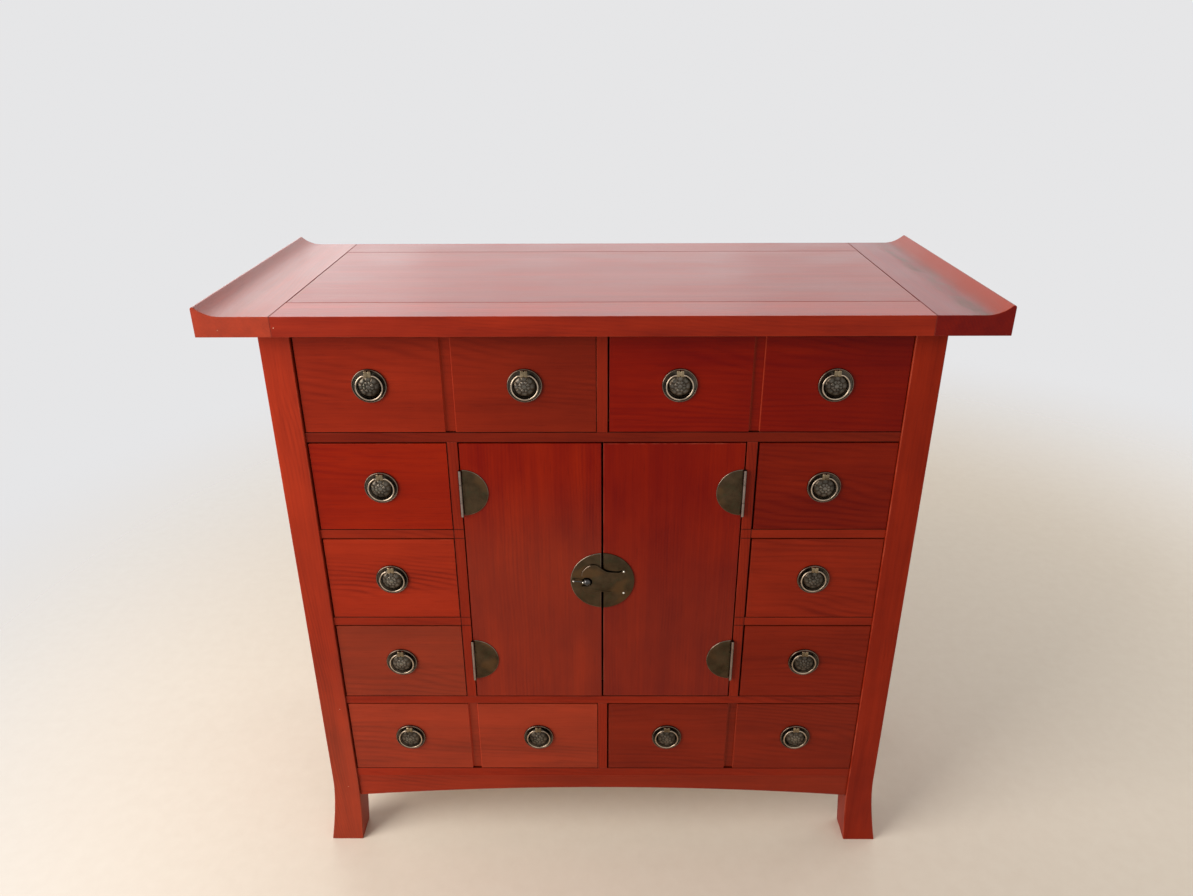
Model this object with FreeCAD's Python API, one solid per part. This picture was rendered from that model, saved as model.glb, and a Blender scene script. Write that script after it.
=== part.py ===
import FreeCAD, Part
import math
import os

# Red lacquered wedding cabinet in millimetres: floor at z = 0, front towards -Y, middle at x = 0.

# Overall sizes
top_width = 998
top_depth = 428
body_width = 866
carcass_height = 877
front_overhang = 28
back_overhang = 12
joint_clearance = 0.3
cut_overrun = 1
full_turn = 360

# Top board
board_thickness = 26
end_piece_width = 94
frame_rail_width = 64
flange_rise = 12
flange_run = 31
flange_lip_radius = 2.8
panel_thickness = 15
panel_line = 0.8
panel_tongue_length = 8
panel_tongue_thickness = 7
board_tenon_length = 20
board_tenon_thickness = 8
board_tenon_inset = 12

# Posts and their feet
post_width = 40
post_depth = 44
post_proud = 3
foot_flare = 17
foot_flare_height = 130
foot_inner_flare = 6
foot_inner_flare_height = 110
flare_bend_share = 0.65
post_tenon_length = 16
post_tenon_thickness = 12

# Front frame, from the floor up
bottom_rail_underside = 137
bottom_rail_thickness = 16
rail_thickness = 14
header_height = 7
low_rows = 2
high_rows = 3
high_row_extra = 2
rail_depth = 38
divider_width = 14
cupboard_width = 385
apron_drop = 42.5
apron_arch_rise = 16.5
apron_thickness = 16
apron_setback = 1

# Sides and back
side_rail_thickness = 16
side_rail_recess = 6
side_rail_height = 50
side_panel_thickness = 8
side_panel_tongue = 8
back_rail_thickness = 20
back_rail_height = 40
back_panel_thickness = 8

# Boards and runners inside
inner_board_thickness = 12
partition_thickness = 12
runner_thickness = 12
outer_runner_width = 36
partition_runner_width = 20
centre_runner_width = 60
guide_height = 14
guide_thickness = 12
stop_height = 30
stop_width = 24
door_stop_width = 40
door_stop_depth = 12
door_stop_height = 16

# Drawers
drawer_front_thickness = 18
drawer_back_gap = 18
drawer_left_gap = 2.4
drawer_right_gap = 1.0
drawer_top_gap = 2.0
drawer_bottom_gap = 1.0
drawer_side_thickness = 10
drawer_side_clearance = 3
drawer_side_drop = 16
drawer_bottom_thickness = 5
drawer_bottom_rise = 8
drawer_groove_depth = 4
channel_depth = 3

# Doors
door_thickness = 18
door_mid_gap = 3
door_hinge_gap = 1.8
door_top_gap = 2.0
door_bottom_gap = 1.0

# Door hinges
hinge_leaf_radius = 36
hinge_leaf_thickness = 1.5
hinge_knuckle_radius = 3
hinge_axis_out = 4
hinge_height = 70
hinge_pin_radius = 1.5
hinge_clearance = 0.25
hinge_middle_share = 0.4
upper_hinge_drop = 75
lower_hinge_rise = 70
frame_leaf_thickness = 0.9
frame_leaf_depth = 18
hinge_web_width = 4

# Lock
lock_radius = 45.5
lock_drop = 3.5
lock_plate_thickness = 1.5
tongue_plate_thickness = 1.8
tongue_thickness = 2
rivet_radius = 1.9
rivet_height = 1.4
rivet_share_x = 0.67
rivet_shares_z = (0.333, -0.478)
knob_radius = 5.5
knob_height = 4
knob_share_x = -0.477
knob_share_z = -0.022
knob_notch_clearance = 1.6
knob_stem_radius = 2.5
knob_nut_radius = 6
knob_nut_thickness = 3
lever_width = 3.2
lever_thickness = 2.2
lever_end_share_x = -0.9
lever_ball_radius = 2.2
tongue_shares = (
    (-0.655, 0.20), (-0.625, 0.36), (-0.495, 0.511), (-0.349, 0.59), (-0.165, 0.578), (0, 0.456),
    (0.165, 0.356), (0.40, 0.322), (0.57, 0.335), (0.67, 0.43), (0.77, 0.36), (0.80, 0),
    (0.78, -0.47), (0.67, -0.57), (0.52, -0.50), (0, -0.42), (-0.30, -0.44), (-0.50, -0.40),
    (-0.62, -0.32), (-0.655, -0.20),
)

# Ring pulls
plate_radius = 23
plate_thickness = 1.5
plate_rim_height = 3
plate_rim_width = 2.2
boss_radius = 13.5
boss_height = 7
ring_radius = 16.9
ring_wire_radius = 1.6
ring_drop = 1.5
ring_chord_half = 6.6
lug_half_width = 5.8
lug_wall = 1.5
ring_pin_clearance = 0.25
ring_plane_gap = 0.7
pull_stud_radius = 2
pull_nut_radius = 5
pull_nut_thickness = 3

# Places worked out from the sizes
front_edge = -top_depth / 2
back_edge = top_depth / 2
front_face = front_edge + front_overhang
post_front = front_face - post_proud
post_back = back_edge - back_overhang
board_top = carcass_height + board_thickness
post_outer = body_width / 2
post_inner = post_outer - post_width
stile_inner = cupboard_width / 2
stile_outer = stile_inner + divider_width
muntin_half = divider_width / 2
rail_back = front_face + rail_depth
side_outer = post_outer - side_rail_recess
side_inner = side_outer - side_rail_thickness
side_front = post_front + post_depth
side_back = post_back - post_depth
back_inner = post_back - back_rail_thickness
back_panel_front = back_inner + (back_rail_thickness - back_panel_thickness) / 2
door_back = front_face + door_thickness
bottom_rail_top = bottom_rail_underside + bottom_rail_thickness
drawer_back = back_inner - drawer_back_gap


def row_levels():
    """Low and high edge of each row of drawers, from the bottom row up."""
    rows = low_rows + high_rows
    free_height = carcass_height - header_height - bottom_rail_top - (rows - 1) * rail_thickness
    low_row_height = (free_height - high_rows * high_row_extra) / rows
    levels = []
    low = bottom_rail_top
    for row in range(rows):
        height = low_row_height if row < low_rows else low_row_height + high_row_extra
        levels.append((low, low + height))
        low = low + height + rail_thickness
    return levels


bottom_row, fourth_row, third_row, second_row, top_row = row_levels()
cupboard_floor = fourth_row[0]
cupboard_ceiling = second_row[1]
lock_height = (cupboard_floor + cupboard_ceiling) / 2 - lock_drop


def point(x, y, z):
    return FreeCAD.Vector(x, y, z)


def box(x, y, z):
    """Block between two values on each axis, in either order."""
    low = [min(pair) for pair in (x, y, z)]
    high = [max(pair) for pair in (x, y, z)]
    return Part.makeBox(high[0] - low[0], high[1] - low[1], high[2] - low[2], point(*low))


def rod(radius, start, end):
    """Cylinder between two points."""
    axis = point(*end) - point(*start)
    return Part.makeCylinder(radius, axis.Length, point(*start), axis)


def curve(*poles):
    """Smooth edge that starts at the first pole, ends at the last and leans on those between."""
    bezier = Part.BezierCurve()
    bezier.setPoles(list(poles))
    return bezier.toShape()


def arc(start, middle, end):
    return Part.Arc(start, middle, end).toShape()


def line(start, end):
    return Part.makeLine(start, end)


def prism(edges, direction):
    """Solid made by moving a closed flat outline along a direction."""
    return Part.Face(Part.Wire(edges)).extrude(direction)


def mirrored(shape):
    """The same piece on the other side of the middle."""
    return shape.mirror(point(0, 0, 0), point(1, 0, 0))


def export(name, solids):
    shape = solids[0] if len(solids) == 1 else Part.makeCompound(solids)
    shape.exportStep("parts/" + name + ".step")


# The top: two long rails and two end pieces around a floating panel
def board_tenons():
    """Tenons of the two long rails, which the end pieces are cut for."""
    z_middle = carcass_height + board_thickness / 2
    z_span = (z_middle - board_tenon_thickness / 2, z_middle + board_tenon_thickness / 2)
    joint = top_width / 2 - end_piece_width
    tenons = []
    for outer_edge, inward in ((front_edge, 1), (back_edge, -1)):
        y_outer = outer_edge + inward * board_tenon_inset
        y_inner = outer_edge + inward * (frame_rail_width - board_tenon_inset)
        for side in (-1, 1):
            tip = side * (joint + board_tenon_length)
            tenons.append(box((side * joint, tip), (y_outer, y_inner), z_span))
    return tenons


def top_panel_solid():
    joint = top_width / 2 - end_piece_width
    y_edge = top_depth / 2 - frame_rail_width
    z_low = board_top - panel_thickness
    field = box((panel_line - joint, joint - panel_line), (panel_line - y_edge, y_edge - panel_line),
                (z_low, board_top))
    x_tip = joint + panel_tongue_length
    y_tip = y_edge + panel_tongue_length
    tongue = box((-x_tip, x_tip), (-y_tip, y_tip), (z_low, z_low + panel_tongue_thickness))
    return field.fuse(tongue).removeSplitter()


def top_rail_solid(outer_edge, inward, tenons, panel):
    joint = top_width / 2 - end_piece_width
    rail = box((-joint, joint), (outer_edge, outer_edge + inward * frame_rail_width),
               (carcass_height, board_top))
    reach = outer_edge + inward * frame_rail_width
    own_tenons = [tenon for tenon in tenons if (tenon.CenterOfMass.y - reach) * inward < 0]
    return rail.fuse(own_tenons).cut(panel).removeSplitter()


def top_end_solid(tenons, panel):
    """Right end piece, with the concave flange that runs smoothly into a rounded lip."""
    joint = top_width / 2 - end_piece_width
    outer = top_width / 2
    lip_x = outer - flange_lip_radius
    lip_z = board_top + flange_rise - flange_lip_radius
    flange_start = lip_x - flange_run
    bend_radius = (flange_run ** 2 + flange_rise ** 2) / (2 * flange_rise) - flange_lip_radius
    steepest = 2 * math.atan(flange_rise / flange_run)

    def at(x, z):
        return point(x, front_edge, z)

    def on_bend(slope):
        return at(flange_start + bend_radius * math.sin(slope),
                  board_top + bend_radius * (1 - math.cos(slope)))

    def on_lip(slope):
        return at(lip_x - flange_lip_radius * math.sin(slope),
                  lip_z + flange_lip_radius * math.cos(slope))

    upright = -math.pi / 2
    outline = [
        line(at(joint, carcass_height), at(outer, carcass_height)),
        line(at(outer, carcass_height), at(outer, lip_z)),
        arc(at(outer, lip_z), on_lip((steepest + upright) / 2), on_lip(steepest)),
        arc(on_lip(steepest), on_bend(steepest / 2), at(flange_start, board_top)),
        line(at(flange_start, board_top), at(joint, board_top)),
        line(at(joint, board_top), at(joint, carcass_height)),
    ]
    end = prism(outline, point(0, top_depth, 0))
    return end.cut(tenons + [panel])


tenons_of_top = board_tenons()
top_panel = top_panel_solid()
top_end_right = top_end_solid(tenons_of_top, top_panel)
top_end_left = mirrored(top_end_right)
top_front_rail = top_rail_solid(front_edge, 1, tenons_of_top, top_panel)
top_back_rail = top_rail_solid(back_edge, -1, tenons_of_top, top_panel)


# The front rails, whose tenons go into the posts
def front_rail(z_low, z_high, y_front, y_back):
    """Rail between the front posts and its two tenons."""
    rail = box((-post_inner, post_inner), (y_front, y_back), (z_low, z_high))
    y_middle = (y_front + y_back) / 2
    y_span = (y_middle - post_tenon_thickness / 2, y_middle + post_tenon_thickness / 2)
    tenons = []
    for side in (-1, 1):
        tip = side * (post_inner + post_tenon_length)
        tenons.append(box((side * post_inner, tip), y_span, (z_low, z_high)))
    return rail.fuse(tenons).removeSplitter()


def apron_solid():
    """Board under the bottom rail, with a shallow arch along its lower edge."""
    y_front = front_face + apron_setback
    low = bottom_rail_underside - apron_drop
    board = front_rail(low, bottom_rail_underside, y_front, y_front + apron_thickness)
    start = point(-post_inner, y_front, low)
    end = point(post_inner, y_front, low)
    crown = point(0, y_front, low + apron_arch_rise)
    arch = prism([arc(start, crown, end), line(end, start)], point(0, apron_thickness, 0))
    return board.cut(arch)


upper_rail = front_rail(cupboard_ceiling, top_row[0], front_face, rail_back)
lower_rail = front_rail(bottom_row[1], cupboard_floor, front_face, rail_back)
bottom_rail = front_rail(bottom_rail_underside, bottom_rail_top, front_face, rail_back)
apron = apron_solid()


# Posts with the foot that kicks outward
def post_solid(y_front, mortised_for):
    """Right post, straight to the foot and then curving outward to the floor."""
    def at(x, z):
        return point(x, y_front, z)

    outer_bend = foot_flare_height * flare_bend_share
    inner_bend = foot_inner_flare_height * flare_bend_share
    floor_outer = post_outer + foot_flare
    floor_inner = post_inner + foot_inner_flare
    outline = [
        line(at(post_inner, carcass_height), at(post_outer, carcass_height)),
        line(at(post_outer, carcass_height), at(post_outer, foot_flare_height)),
        curve(at(post_outer, foot_flare_height), at(post_outer, outer_bend), at(floor_outer, 0)),
        line(at(floor_outer, 0), at(floor_inner, 0)),
        curve(at(floor_inner, 0), at(post_inner, inner_bend), at(post_inner, foot_inner_flare_height)),
        line(at(post_inner, foot_inner_flare_height), at(post_inner, carcass_height)),
    ]
    post = prism(outline, point(0, post_depth, 0))
    return post.cut(mortised_for) if mortised_for else post


front_rails = [upper_rail, lower_rail, bottom_rail, apron]
post_front_right = post_solid(post_front, front_rails)
post_front_left = mirrored(post_front_right)
post_back_right = post_solid(side_back, [])
post_back_left = mirrored(post_back_right)


# The small dividers of the front
def front_divider_solids():
    y_span = (front_face, rail_back)
    dividers = [box((-post_inner, post_inner), y_span, (top_row[1], carcass_height))]
    for row in (bottom_row, top_row):
        dividers.append(box((-muntin_half, muntin_half), y_span, row))
    for side in (-1, 1):
        dividers.append(box((side * stile_inner, side * stile_outer), y_span,
                            (cupboard_floor, cupboard_ceiling)))
        for below, above in ((fourth_row, third_row), (third_row, second_row)):
            dividers.append(box((side * stile_outer, side * post_inner), y_span,
                                (below[1], above[0])))
    return dividers


# Sides and back, each a panel held in grooves between two rails
def side_frame_solids():
    y_span = (side_front, side_back)
    low = bottom_rail_underside
    panel_inner = side_outer - (side_rail_thickness + side_panel_thickness) / 2
    panel = box((panel_inner, panel_inner + side_panel_thickness), y_span,
                (low + side_rail_height - side_panel_tongue,
                 carcass_height - side_rail_height + side_panel_tongue))
    top_rail = box((side_inner, side_outer), y_span,
                   (carcass_height - side_rail_height, carcass_height)).cut(panel)
    low_rail = box((side_inner, side_outer), y_span, (low, low + side_rail_height)).cut(panel)
    right = [top_rail, panel, low_rail]
    return right + [mirrored(solid) for solid in right]


def back_solids():
    x_span = (-post_inner, post_inner)
    low = bottom_rail_underside
    panel = box(x_span, (back_panel_front, back_panel_front + back_panel_thickness),
                (low + back_rail_height - side_panel_tongue,
                 carcass_height - back_rail_height + side_panel_tongue))
    top_rail = box(x_span, (back_inner, post_back),
                   (carcass_height - back_rail_height, carcass_height)).cut(panel)
    low_rail = box(x_span, (back_inner, post_back), (low, low + back_rail_height)).cut(panel)
    return [panel, top_rail, low_rail]


# Boards inside: the cupboard's ceiling, its floor and the two partitions
def inner_board(z_top):
    """Board behind a front rail, reaching the side frames between the posts."""
    z_span = (z_top - inner_board_thickness, z_top)
    long_way = box((-post_inner, post_inner), (rail_back, back_panel_front), z_span)
    wide_way = box((-side_inner, side_inner), (side_front, side_back), z_span)
    return long_way.fuse(wide_way).removeSplitter()


def inner_board_solids():
    upper = inner_board(top_row[0])
    lower = inner_board(cupboard_floor)
    partition_middle = (stile_inner + stile_outer) / 2
    solids = [upper, lower]
    for side in (-1, 1):
        x_inner = side * (partition_middle - partition_thickness / 2)
        x_outer = side * (partition_middle + partition_thickness / 2)
        solids.append(box((x_inner, x_outer), (rail_back, back_panel_front),
                          (cupboard_floor, top_row[0] - inner_board_thickness)))
        stop_middle = side * stile_inner / 2
        stop_x = (stop_middle - door_stop_width / 2, stop_middle + door_stop_width / 2)
        stop_front = door_back + joint_clearance
        solids.append(box(stop_x, (stop_front, stop_front + door_stop_depth),
                          (cupboard_ceiling - door_stop_height, cupboard_ceiling)))
    return solids


# Runners, guides and stops that carry the drawers
def runner_span(row):
    """Front and back end of a runner: the bottom ones end at the low back rail."""
    return (rail_back, back_inner if row is bottom_row else back_panel_front)


def outer_runner_solids(row):
    """Right-hand runner, and the guide beside it that is fixed to the side frame."""
    z_low = row[0] - runner_thickness
    base = box((side_inner - outer_runner_width, post_inner), runner_span(row), (z_low, row[0]))
    guide = box((post_inner, side_inner), (side_front, side_back), (z_low, row[0] + guide_height))
    return [base, guide]


def runner_solids():
    partition_outer = (stile_inner + stile_outer + partition_thickness) / 2
    solids = []
    right = []
    for row in (bottom_row, third_row, second_row):
        right += outer_runner_solids(row)
    for row in (third_row, second_row):
        right.append(box((partition_outer, partition_outer + partition_runner_width),
                         runner_span(row), (row[0] - runner_thickness, row[0])))
    for solid in right:
        solids += [solid, mirrored(solid)]
    centre_half = centre_runner_width / 2
    solids.append(box((-centre_half, centre_half), runner_span(bottom_row),
                      (bottom_row[0] - runner_thickness, bottom_row[0])))
    guide_half = guide_thickness / 2
    for row in (bottom_row, top_row):
        solids.append(box((-guide_half, guide_half), runner_span(row),
                          (row[0], row[0] + guide_height)))
    stop_front = drawer_back + joint_clearance
    for side in (-1, 1):
        middle = side * (stile_outer + post_inner) / 2
        for row in (bottom_row, fourth_row, third_row, second_row, top_row):
            row_middle = (row[0] + row[1]) / 2
            solids.append(box((middle - stop_width / 2, middle + stop_width / 2),
                              (stop_front, back_panel_front),
                              (row_middle - stop_height / 2, row_middle + stop_height / 2)))
    return solids


# Drawers
def pull_stud_hole(x, z, y_back):
    return rod(pull_stud_radius + joint_clearance, (x, front_face - cut_overrun, z),
               (x, y_back + cut_overrun, z))


def drawer_solids(opening, row, pulls, channel):
    """Front, two sides, back and bottom of one drawer."""
    left = opening[0] + drawer_left_gap
    right = opening[1] - drawer_right_gap
    front_back = front_face + drawer_front_thickness
    side_left = opening[0] + drawer_side_clearance
    side_right = opening[1] - drawer_side_clearance
    inner_left = side_left + drawer_side_thickness
    inner_right = side_right - drawer_side_thickness
    side_low = row[0] + joint_clearance
    side_high = row[1] - drawer_side_drop
    bottom_low = row[0] + drawer_bottom_rise
    bottom_high = bottom_low + drawer_bottom_thickness

    bottom = box((inner_left - drawer_groove_depth, inner_right + drawer_groove_depth),
                 (front_back - drawer_groove_depth, drawer_back), (bottom_low, bottom_high))
    front = box((left, right), (front_face, front_back),
                (row[0] + drawer_bottom_gap, row[1] - drawer_top_gap))
    cuts = [bottom] + [pull_stud_hole(x, z, front_back) for x, z in pulls]
    if channel:
        cuts.append(box(channel, (front_face - cut_overrun, front_face + channel_depth),
                        (row[0], row[1])))
    front = front.cut(cuts)
    left_side = box((side_left, inner_left), (front_back, drawer_back), (side_low, side_high))
    right_side = box((inner_right, side_right), (front_back, drawer_back), (side_low, side_high))
    back = box((inner_left, inner_right), (drawer_back - drawer_side_thickness, drawer_back),
               (bottom_high, side_high))
    return [front, left_side.cut(bottom), right_side.cut(bottom), back, bottom]


# Ring pulls
def pull_plate_solids(x, z):
    """Round plate with rim, boss, lug and stud, and the nut inside the drawer."""
    y_face = front_face

    def at(radius, out):
        return point(x + radius, y_face - out, z)

    rim_middle = plate_radius - plate_rim_width / 2
    rim_inner = plate_radius - plate_rim_width
    boss_shoulder = math.sqrt(0.5)
    half_section = [
        line(at(0, 0), at(plate_radius, 0)),
        line(at(plate_radius, 0), at(plate_radius, plate_thickness)),
        arc(at(plate_radius, plate_thickness), at(rim_middle, plate_rim_height),
            at(rim_inner, plate_thickness)),
        line(at(rim_inner, plate_thickness), at(boss_radius, plate_thickness)),
        arc(at(boss_radius, plate_thickness),
            at(boss_radius * boss_shoulder,
               plate_thickness + (boss_height - plate_thickness) * boss_shoulder),
            at(0, boss_height)),
        line(at(0, boss_height), at(0, 0)),
    ]
    section = Part.Face(Part.Wire(half_section))
    plate = section.revolve(point(x, y_face, z), point(0, 1, 0), full_turn)

    pin_z = z + ring_pin_height()
    pin_y = y_face - ring_pin_out()
    hole_radius = ring_wire_radius + ring_pin_clearance
    lug_half_height = hole_radius + lug_wall
    lug_x = (x - lug_half_width, x + lug_half_width)
    lug = box(lug_x, (y_face - plate_thickness / 2, pin_y - lug_half_height),
              (pin_z - lug_half_height, pin_z + lug_half_height))
    hole = rod(hole_radius, (lug_x[0] - cut_overrun, pin_y, pin_z),
               (lug_x[1] + cut_overrun, pin_y, pin_z))
    front_back = y_face + drawer_front_thickness
    stud_end = front_back + pull_nut_thickness + cut_overrun
    stud = rod(pull_stud_radius, (x, y_face - plate_thickness / 2, z), (x, stud_end, z))
    nut = rod(pull_nut_radius, (x, front_back, z), (x, front_back + pull_nut_thickness, z)).cut(stud)
    return [plate.fuse([lug, stud]).cut(hole).removeSplitter(), nut]


def ring_pin_height():
    """Height of the ring's pin above the middle of its plate."""
    return math.sqrt(ring_radius ** 2 - ring_chord_half ** 2) - ring_drop


def ring_pin_out():
    """Distance of the ring's plane from the face of the drawer."""
    return plate_thickness + ring_wire_radius + ring_plane_gap


def ring_solid(x, z):
    """Hanging ring, closed by a straight pin that turns in the lug."""
    y_ring = front_face - ring_pin_out()
    centre_z = z - ring_drop
    half_open = math.degrees(math.asin(ring_chord_half / ring_radius))
    hoop = Part.makeTorus(ring_radius, ring_wire_radius, point(x, y_ring, centre_z), point(0, 1, 0),
                          -full_turn / 2, full_turn / 2, full_turn - 2 * half_open)
    hoop.rotate(point(x, y_ring, centre_z), point(0, 1, 0), half_open)
    pin_z = z + ring_pin_height()
    ends = [(x - ring_chord_half, y_ring, pin_z), (x + ring_chord_half, y_ring, pin_z)]
    pin = rod(ring_wire_radius, *ends)
    knuckle_radius = ring_wire_radius + ring_pin_clearance / 4
    knuckles = [Part.makeSphere(knuckle_radius, point(*end)) for end in ends]
    return hoop.fuse([pin] + knuckles).removeSplitter()


# Doors
hinge_axis_x = stile_inner - door_hinge_gap / 2
hinge_axis_y = front_face - hinge_axis_out
knob_x = knob_share_x * lock_radius
knob_z = lock_height + knob_share_z * lock_radius


def right_door_solid():
    return box((door_mid_gap / 2, stile_inner - door_hinge_gap), (front_face, door_back),
               (cupboard_floor + door_bottom_gap, cupboard_ceiling - door_top_gap))


def left_door_solid():
    stem_hole = rod(knob_stem_radius + joint_clearance, (knob_x, front_face - cut_overrun, knob_z),
                    (knob_x, door_back + cut_overrun, knob_z))
    return mirrored(right_door_solid()).cut(stem_hole)


hinge_heights = (cupboard_ceiling - upper_hinge_drop, cupboard_floor + lower_hinge_rise)
middle_half = hinge_height * hinge_middle_share / 2


def right_door_hinge(z):
    """Half-moon leaf on the right door and the middle knuckle, in one piece."""
    edge = stile_inner - door_hinge_gap
    y_front = front_face - hinge_leaf_thickness
    disc = rod(hinge_leaf_radius, (edge, y_front, z), (edge, front_face, z))
    inner_half = box((edge - hinge_leaf_radius, edge), (y_front, front_face),
                     (z - hinge_leaf_radius, z + hinge_leaf_radius))
    leaf = disc.common(inner_half)
    axis = (hinge_axis_x, hinge_axis_y)
    around_knuckles = rod(hinge_knuckle_radius + hinge_clearance, (*axis, z - hinge_leaf_radius),
                          (*axis, z + hinge_leaf_radius))
    knuckle_half = middle_half - hinge_clearance
    knuckle = rod(hinge_knuckle_radius, (*axis, z - knuckle_half), (*axis, z + knuckle_half))
    web_y = (hinge_axis_y + hinge_pin_radius, front_face - joint_clearance)
    web = box((edge - hinge_web_width, hinge_axis_x), web_y, (z - knuckle_half, z + knuckle_half))
    pin_hole = rod(hinge_pin_radius + hinge_clearance, (*axis, z - hinge_height),
                   (*axis, z + hinge_height))
    return leaf.cut(around_knuckles).fuse([knuckle, web]).cut(pin_hole).removeSplitter()


def right_frame_hinge(z):
    """Outer knuckles, the pin through all three and the leaf set into the gap."""
    axis = (hinge_axis_x, hinge_axis_y)
    half = hinge_height / 2
    knuckle_end = middle_half + hinge_clearance
    leaf_inner = stile_inner - frame_leaf_thickness
    leaf_front = hinge_axis_y + hinge_knuckle_radius + hinge_clearance
    pieces = [box((leaf_inner, stile_inner), (leaf_front, front_face + frame_leaf_depth),
                  (z - half, z + half))]
    for way in (-1, 1):
        inner_end = z + way * knuckle_end
        outer_end = z + way * half
        pieces.append(rod(hinge_knuckle_radius, (*axis, inner_end), (*axis, outer_end)))
        pieces.append(box((leaf_inner, stile_inner), (hinge_axis_y, leaf_front),
                          (inner_end, outer_end)))
    pin = rod(hinge_pin_radius, (*axis, z - half), (*axis, z + half))
    return pin.fuse(pieces).removeSplitter()


# Lock
def half_plate(side, thickness):
    y_front = front_face - thickness
    disc = rod(lock_radius, (0, y_front, lock_height), (0, front_face, lock_height))
    half = box((side * door_mid_gap / 2, side * lock_radius), (y_front, front_face),
               (lock_height - lock_radius, lock_height + lock_radius))
    return disc.common(half)


def tongue_solid():
    """Comma-shaped tongue over both half plates, with the notch for the knob."""
    y_back = front_face - tongue_plate_thickness

    def at(share_x, share_z):
        return point(share_x * lock_radius, y_back, lock_height + share_z * lock_radius)

    points = [at(*shares) for shares in tongue_shares]
    edge = Part.BSplineCurve()
    edge.interpolate(points)
    body = prism([edge.toShape(), line(points[-1], points[0])], point(0, -tongue_thickness, 0))
    notch_radius = knob_radius + knob_notch_clearance
    y_front = y_back - tongue_thickness
    notch_end = rod(notch_radius, (knob_x, y_front - cut_overrun, knob_z),
                    (knob_x, y_back + cut_overrun, knob_z))
    notch_mouth = box((knob_x - lock_radius, knob_x), (y_front - cut_overrun, y_back + cut_overrun),
                      (knob_z - notch_radius, knob_z + notch_radius))
    return body.cut([notch_end, notch_mouth])


def rivet_solids():
    y_start = front_face - tongue_plate_thickness - tongue_thickness
    solids = []
    for share_z in rivet_shares_z:
        x = rivet_share_x * lock_radius
        z = lock_height + share_z * lock_radius
        solids.append(rod(rivet_radius, (x, y_start - rivet_height, z), (x, y_start, z)))
    return solids


def turn_button_solids():
    """Knob, lever and stem in one piece, and the nut behind the left door."""
    lever_back = front_face - tongue_plate_thickness - tongue_thickness - joint_clearance
    lever_front = lever_back - lever_thickness
    knob_base = front_face - lock_plate_thickness - joint_clearance
    knob_front = lever_back - knob_height
    lever_end = lever_end_share_x * lock_radius
    knob = rod(knob_radius, (knob_x, knob_front, knob_z), (knob_x, knob_base, knob_z))
    front_edges = [edge for edge in knob.Edges if edge.BoundBox.YMax < knob_front + joint_clearance]
    knob = knob.makeFillet(knob_radius / 4, front_edges)
    lever = box((lever_end, knob_x), (lever_front, lever_back),
                (knob_z - lever_width / 2, knob_z + lever_width / 2))
    ball_y = lever_back - lever_ball_radius
    ball = Part.makeSphere(lever_ball_radius, point(lever_end, ball_y, knob_z))
    stem_end = door_back + knob_nut_thickness + cut_overrun
    stem = rod(knob_stem_radius, (knob_x, knob_base, knob_z), (knob_x, stem_end, knob_z))
    nut_front = door_back + joint_clearance
    nut = rod(knob_nut_radius, (knob_x, nut_front, knob_z),
              (knob_x, nut_front + knob_nut_thickness, knob_z)).cut(stem)
    return [knob.fuse([lever, ball, stem]).removeSplitter(), nut]


# Where each drawer and each pull goes
outer_middle = (stile_outer + post_inner) / 2
inner_middle = (stile_inner + muntin_half) / 2
wide_rows = {"top": top_row, "bottom": bottom_row}
small_rows = {"second": second_row, "third": third_row, "fourth": fourth_row}


def drawer_places():
    """Name, opening, row, named pull places and channel of each drawer."""
    places = []
    for side_name, side in (("left", -1), ("right", 1)):
        for row_name, row in wide_rows.items():
            opening = sorted((side * muntin_half, side * post_inner))
            channel = sorted((side * stile_inner, side * stile_outer))
            pulls = {"outer_ring": side * outer_middle, "inner_ring": side * inner_middle}
            places.append((row_name + "_" + side_name, opening, row, pulls, channel))
        for row_name, row in small_rows.items():
            opening = sorted((side * stile_outer, side * post_inner))
            places.append((row_name + "_" + side_name, opening, row, {"ring": side * outer_middle}, None))
    return places


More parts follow.
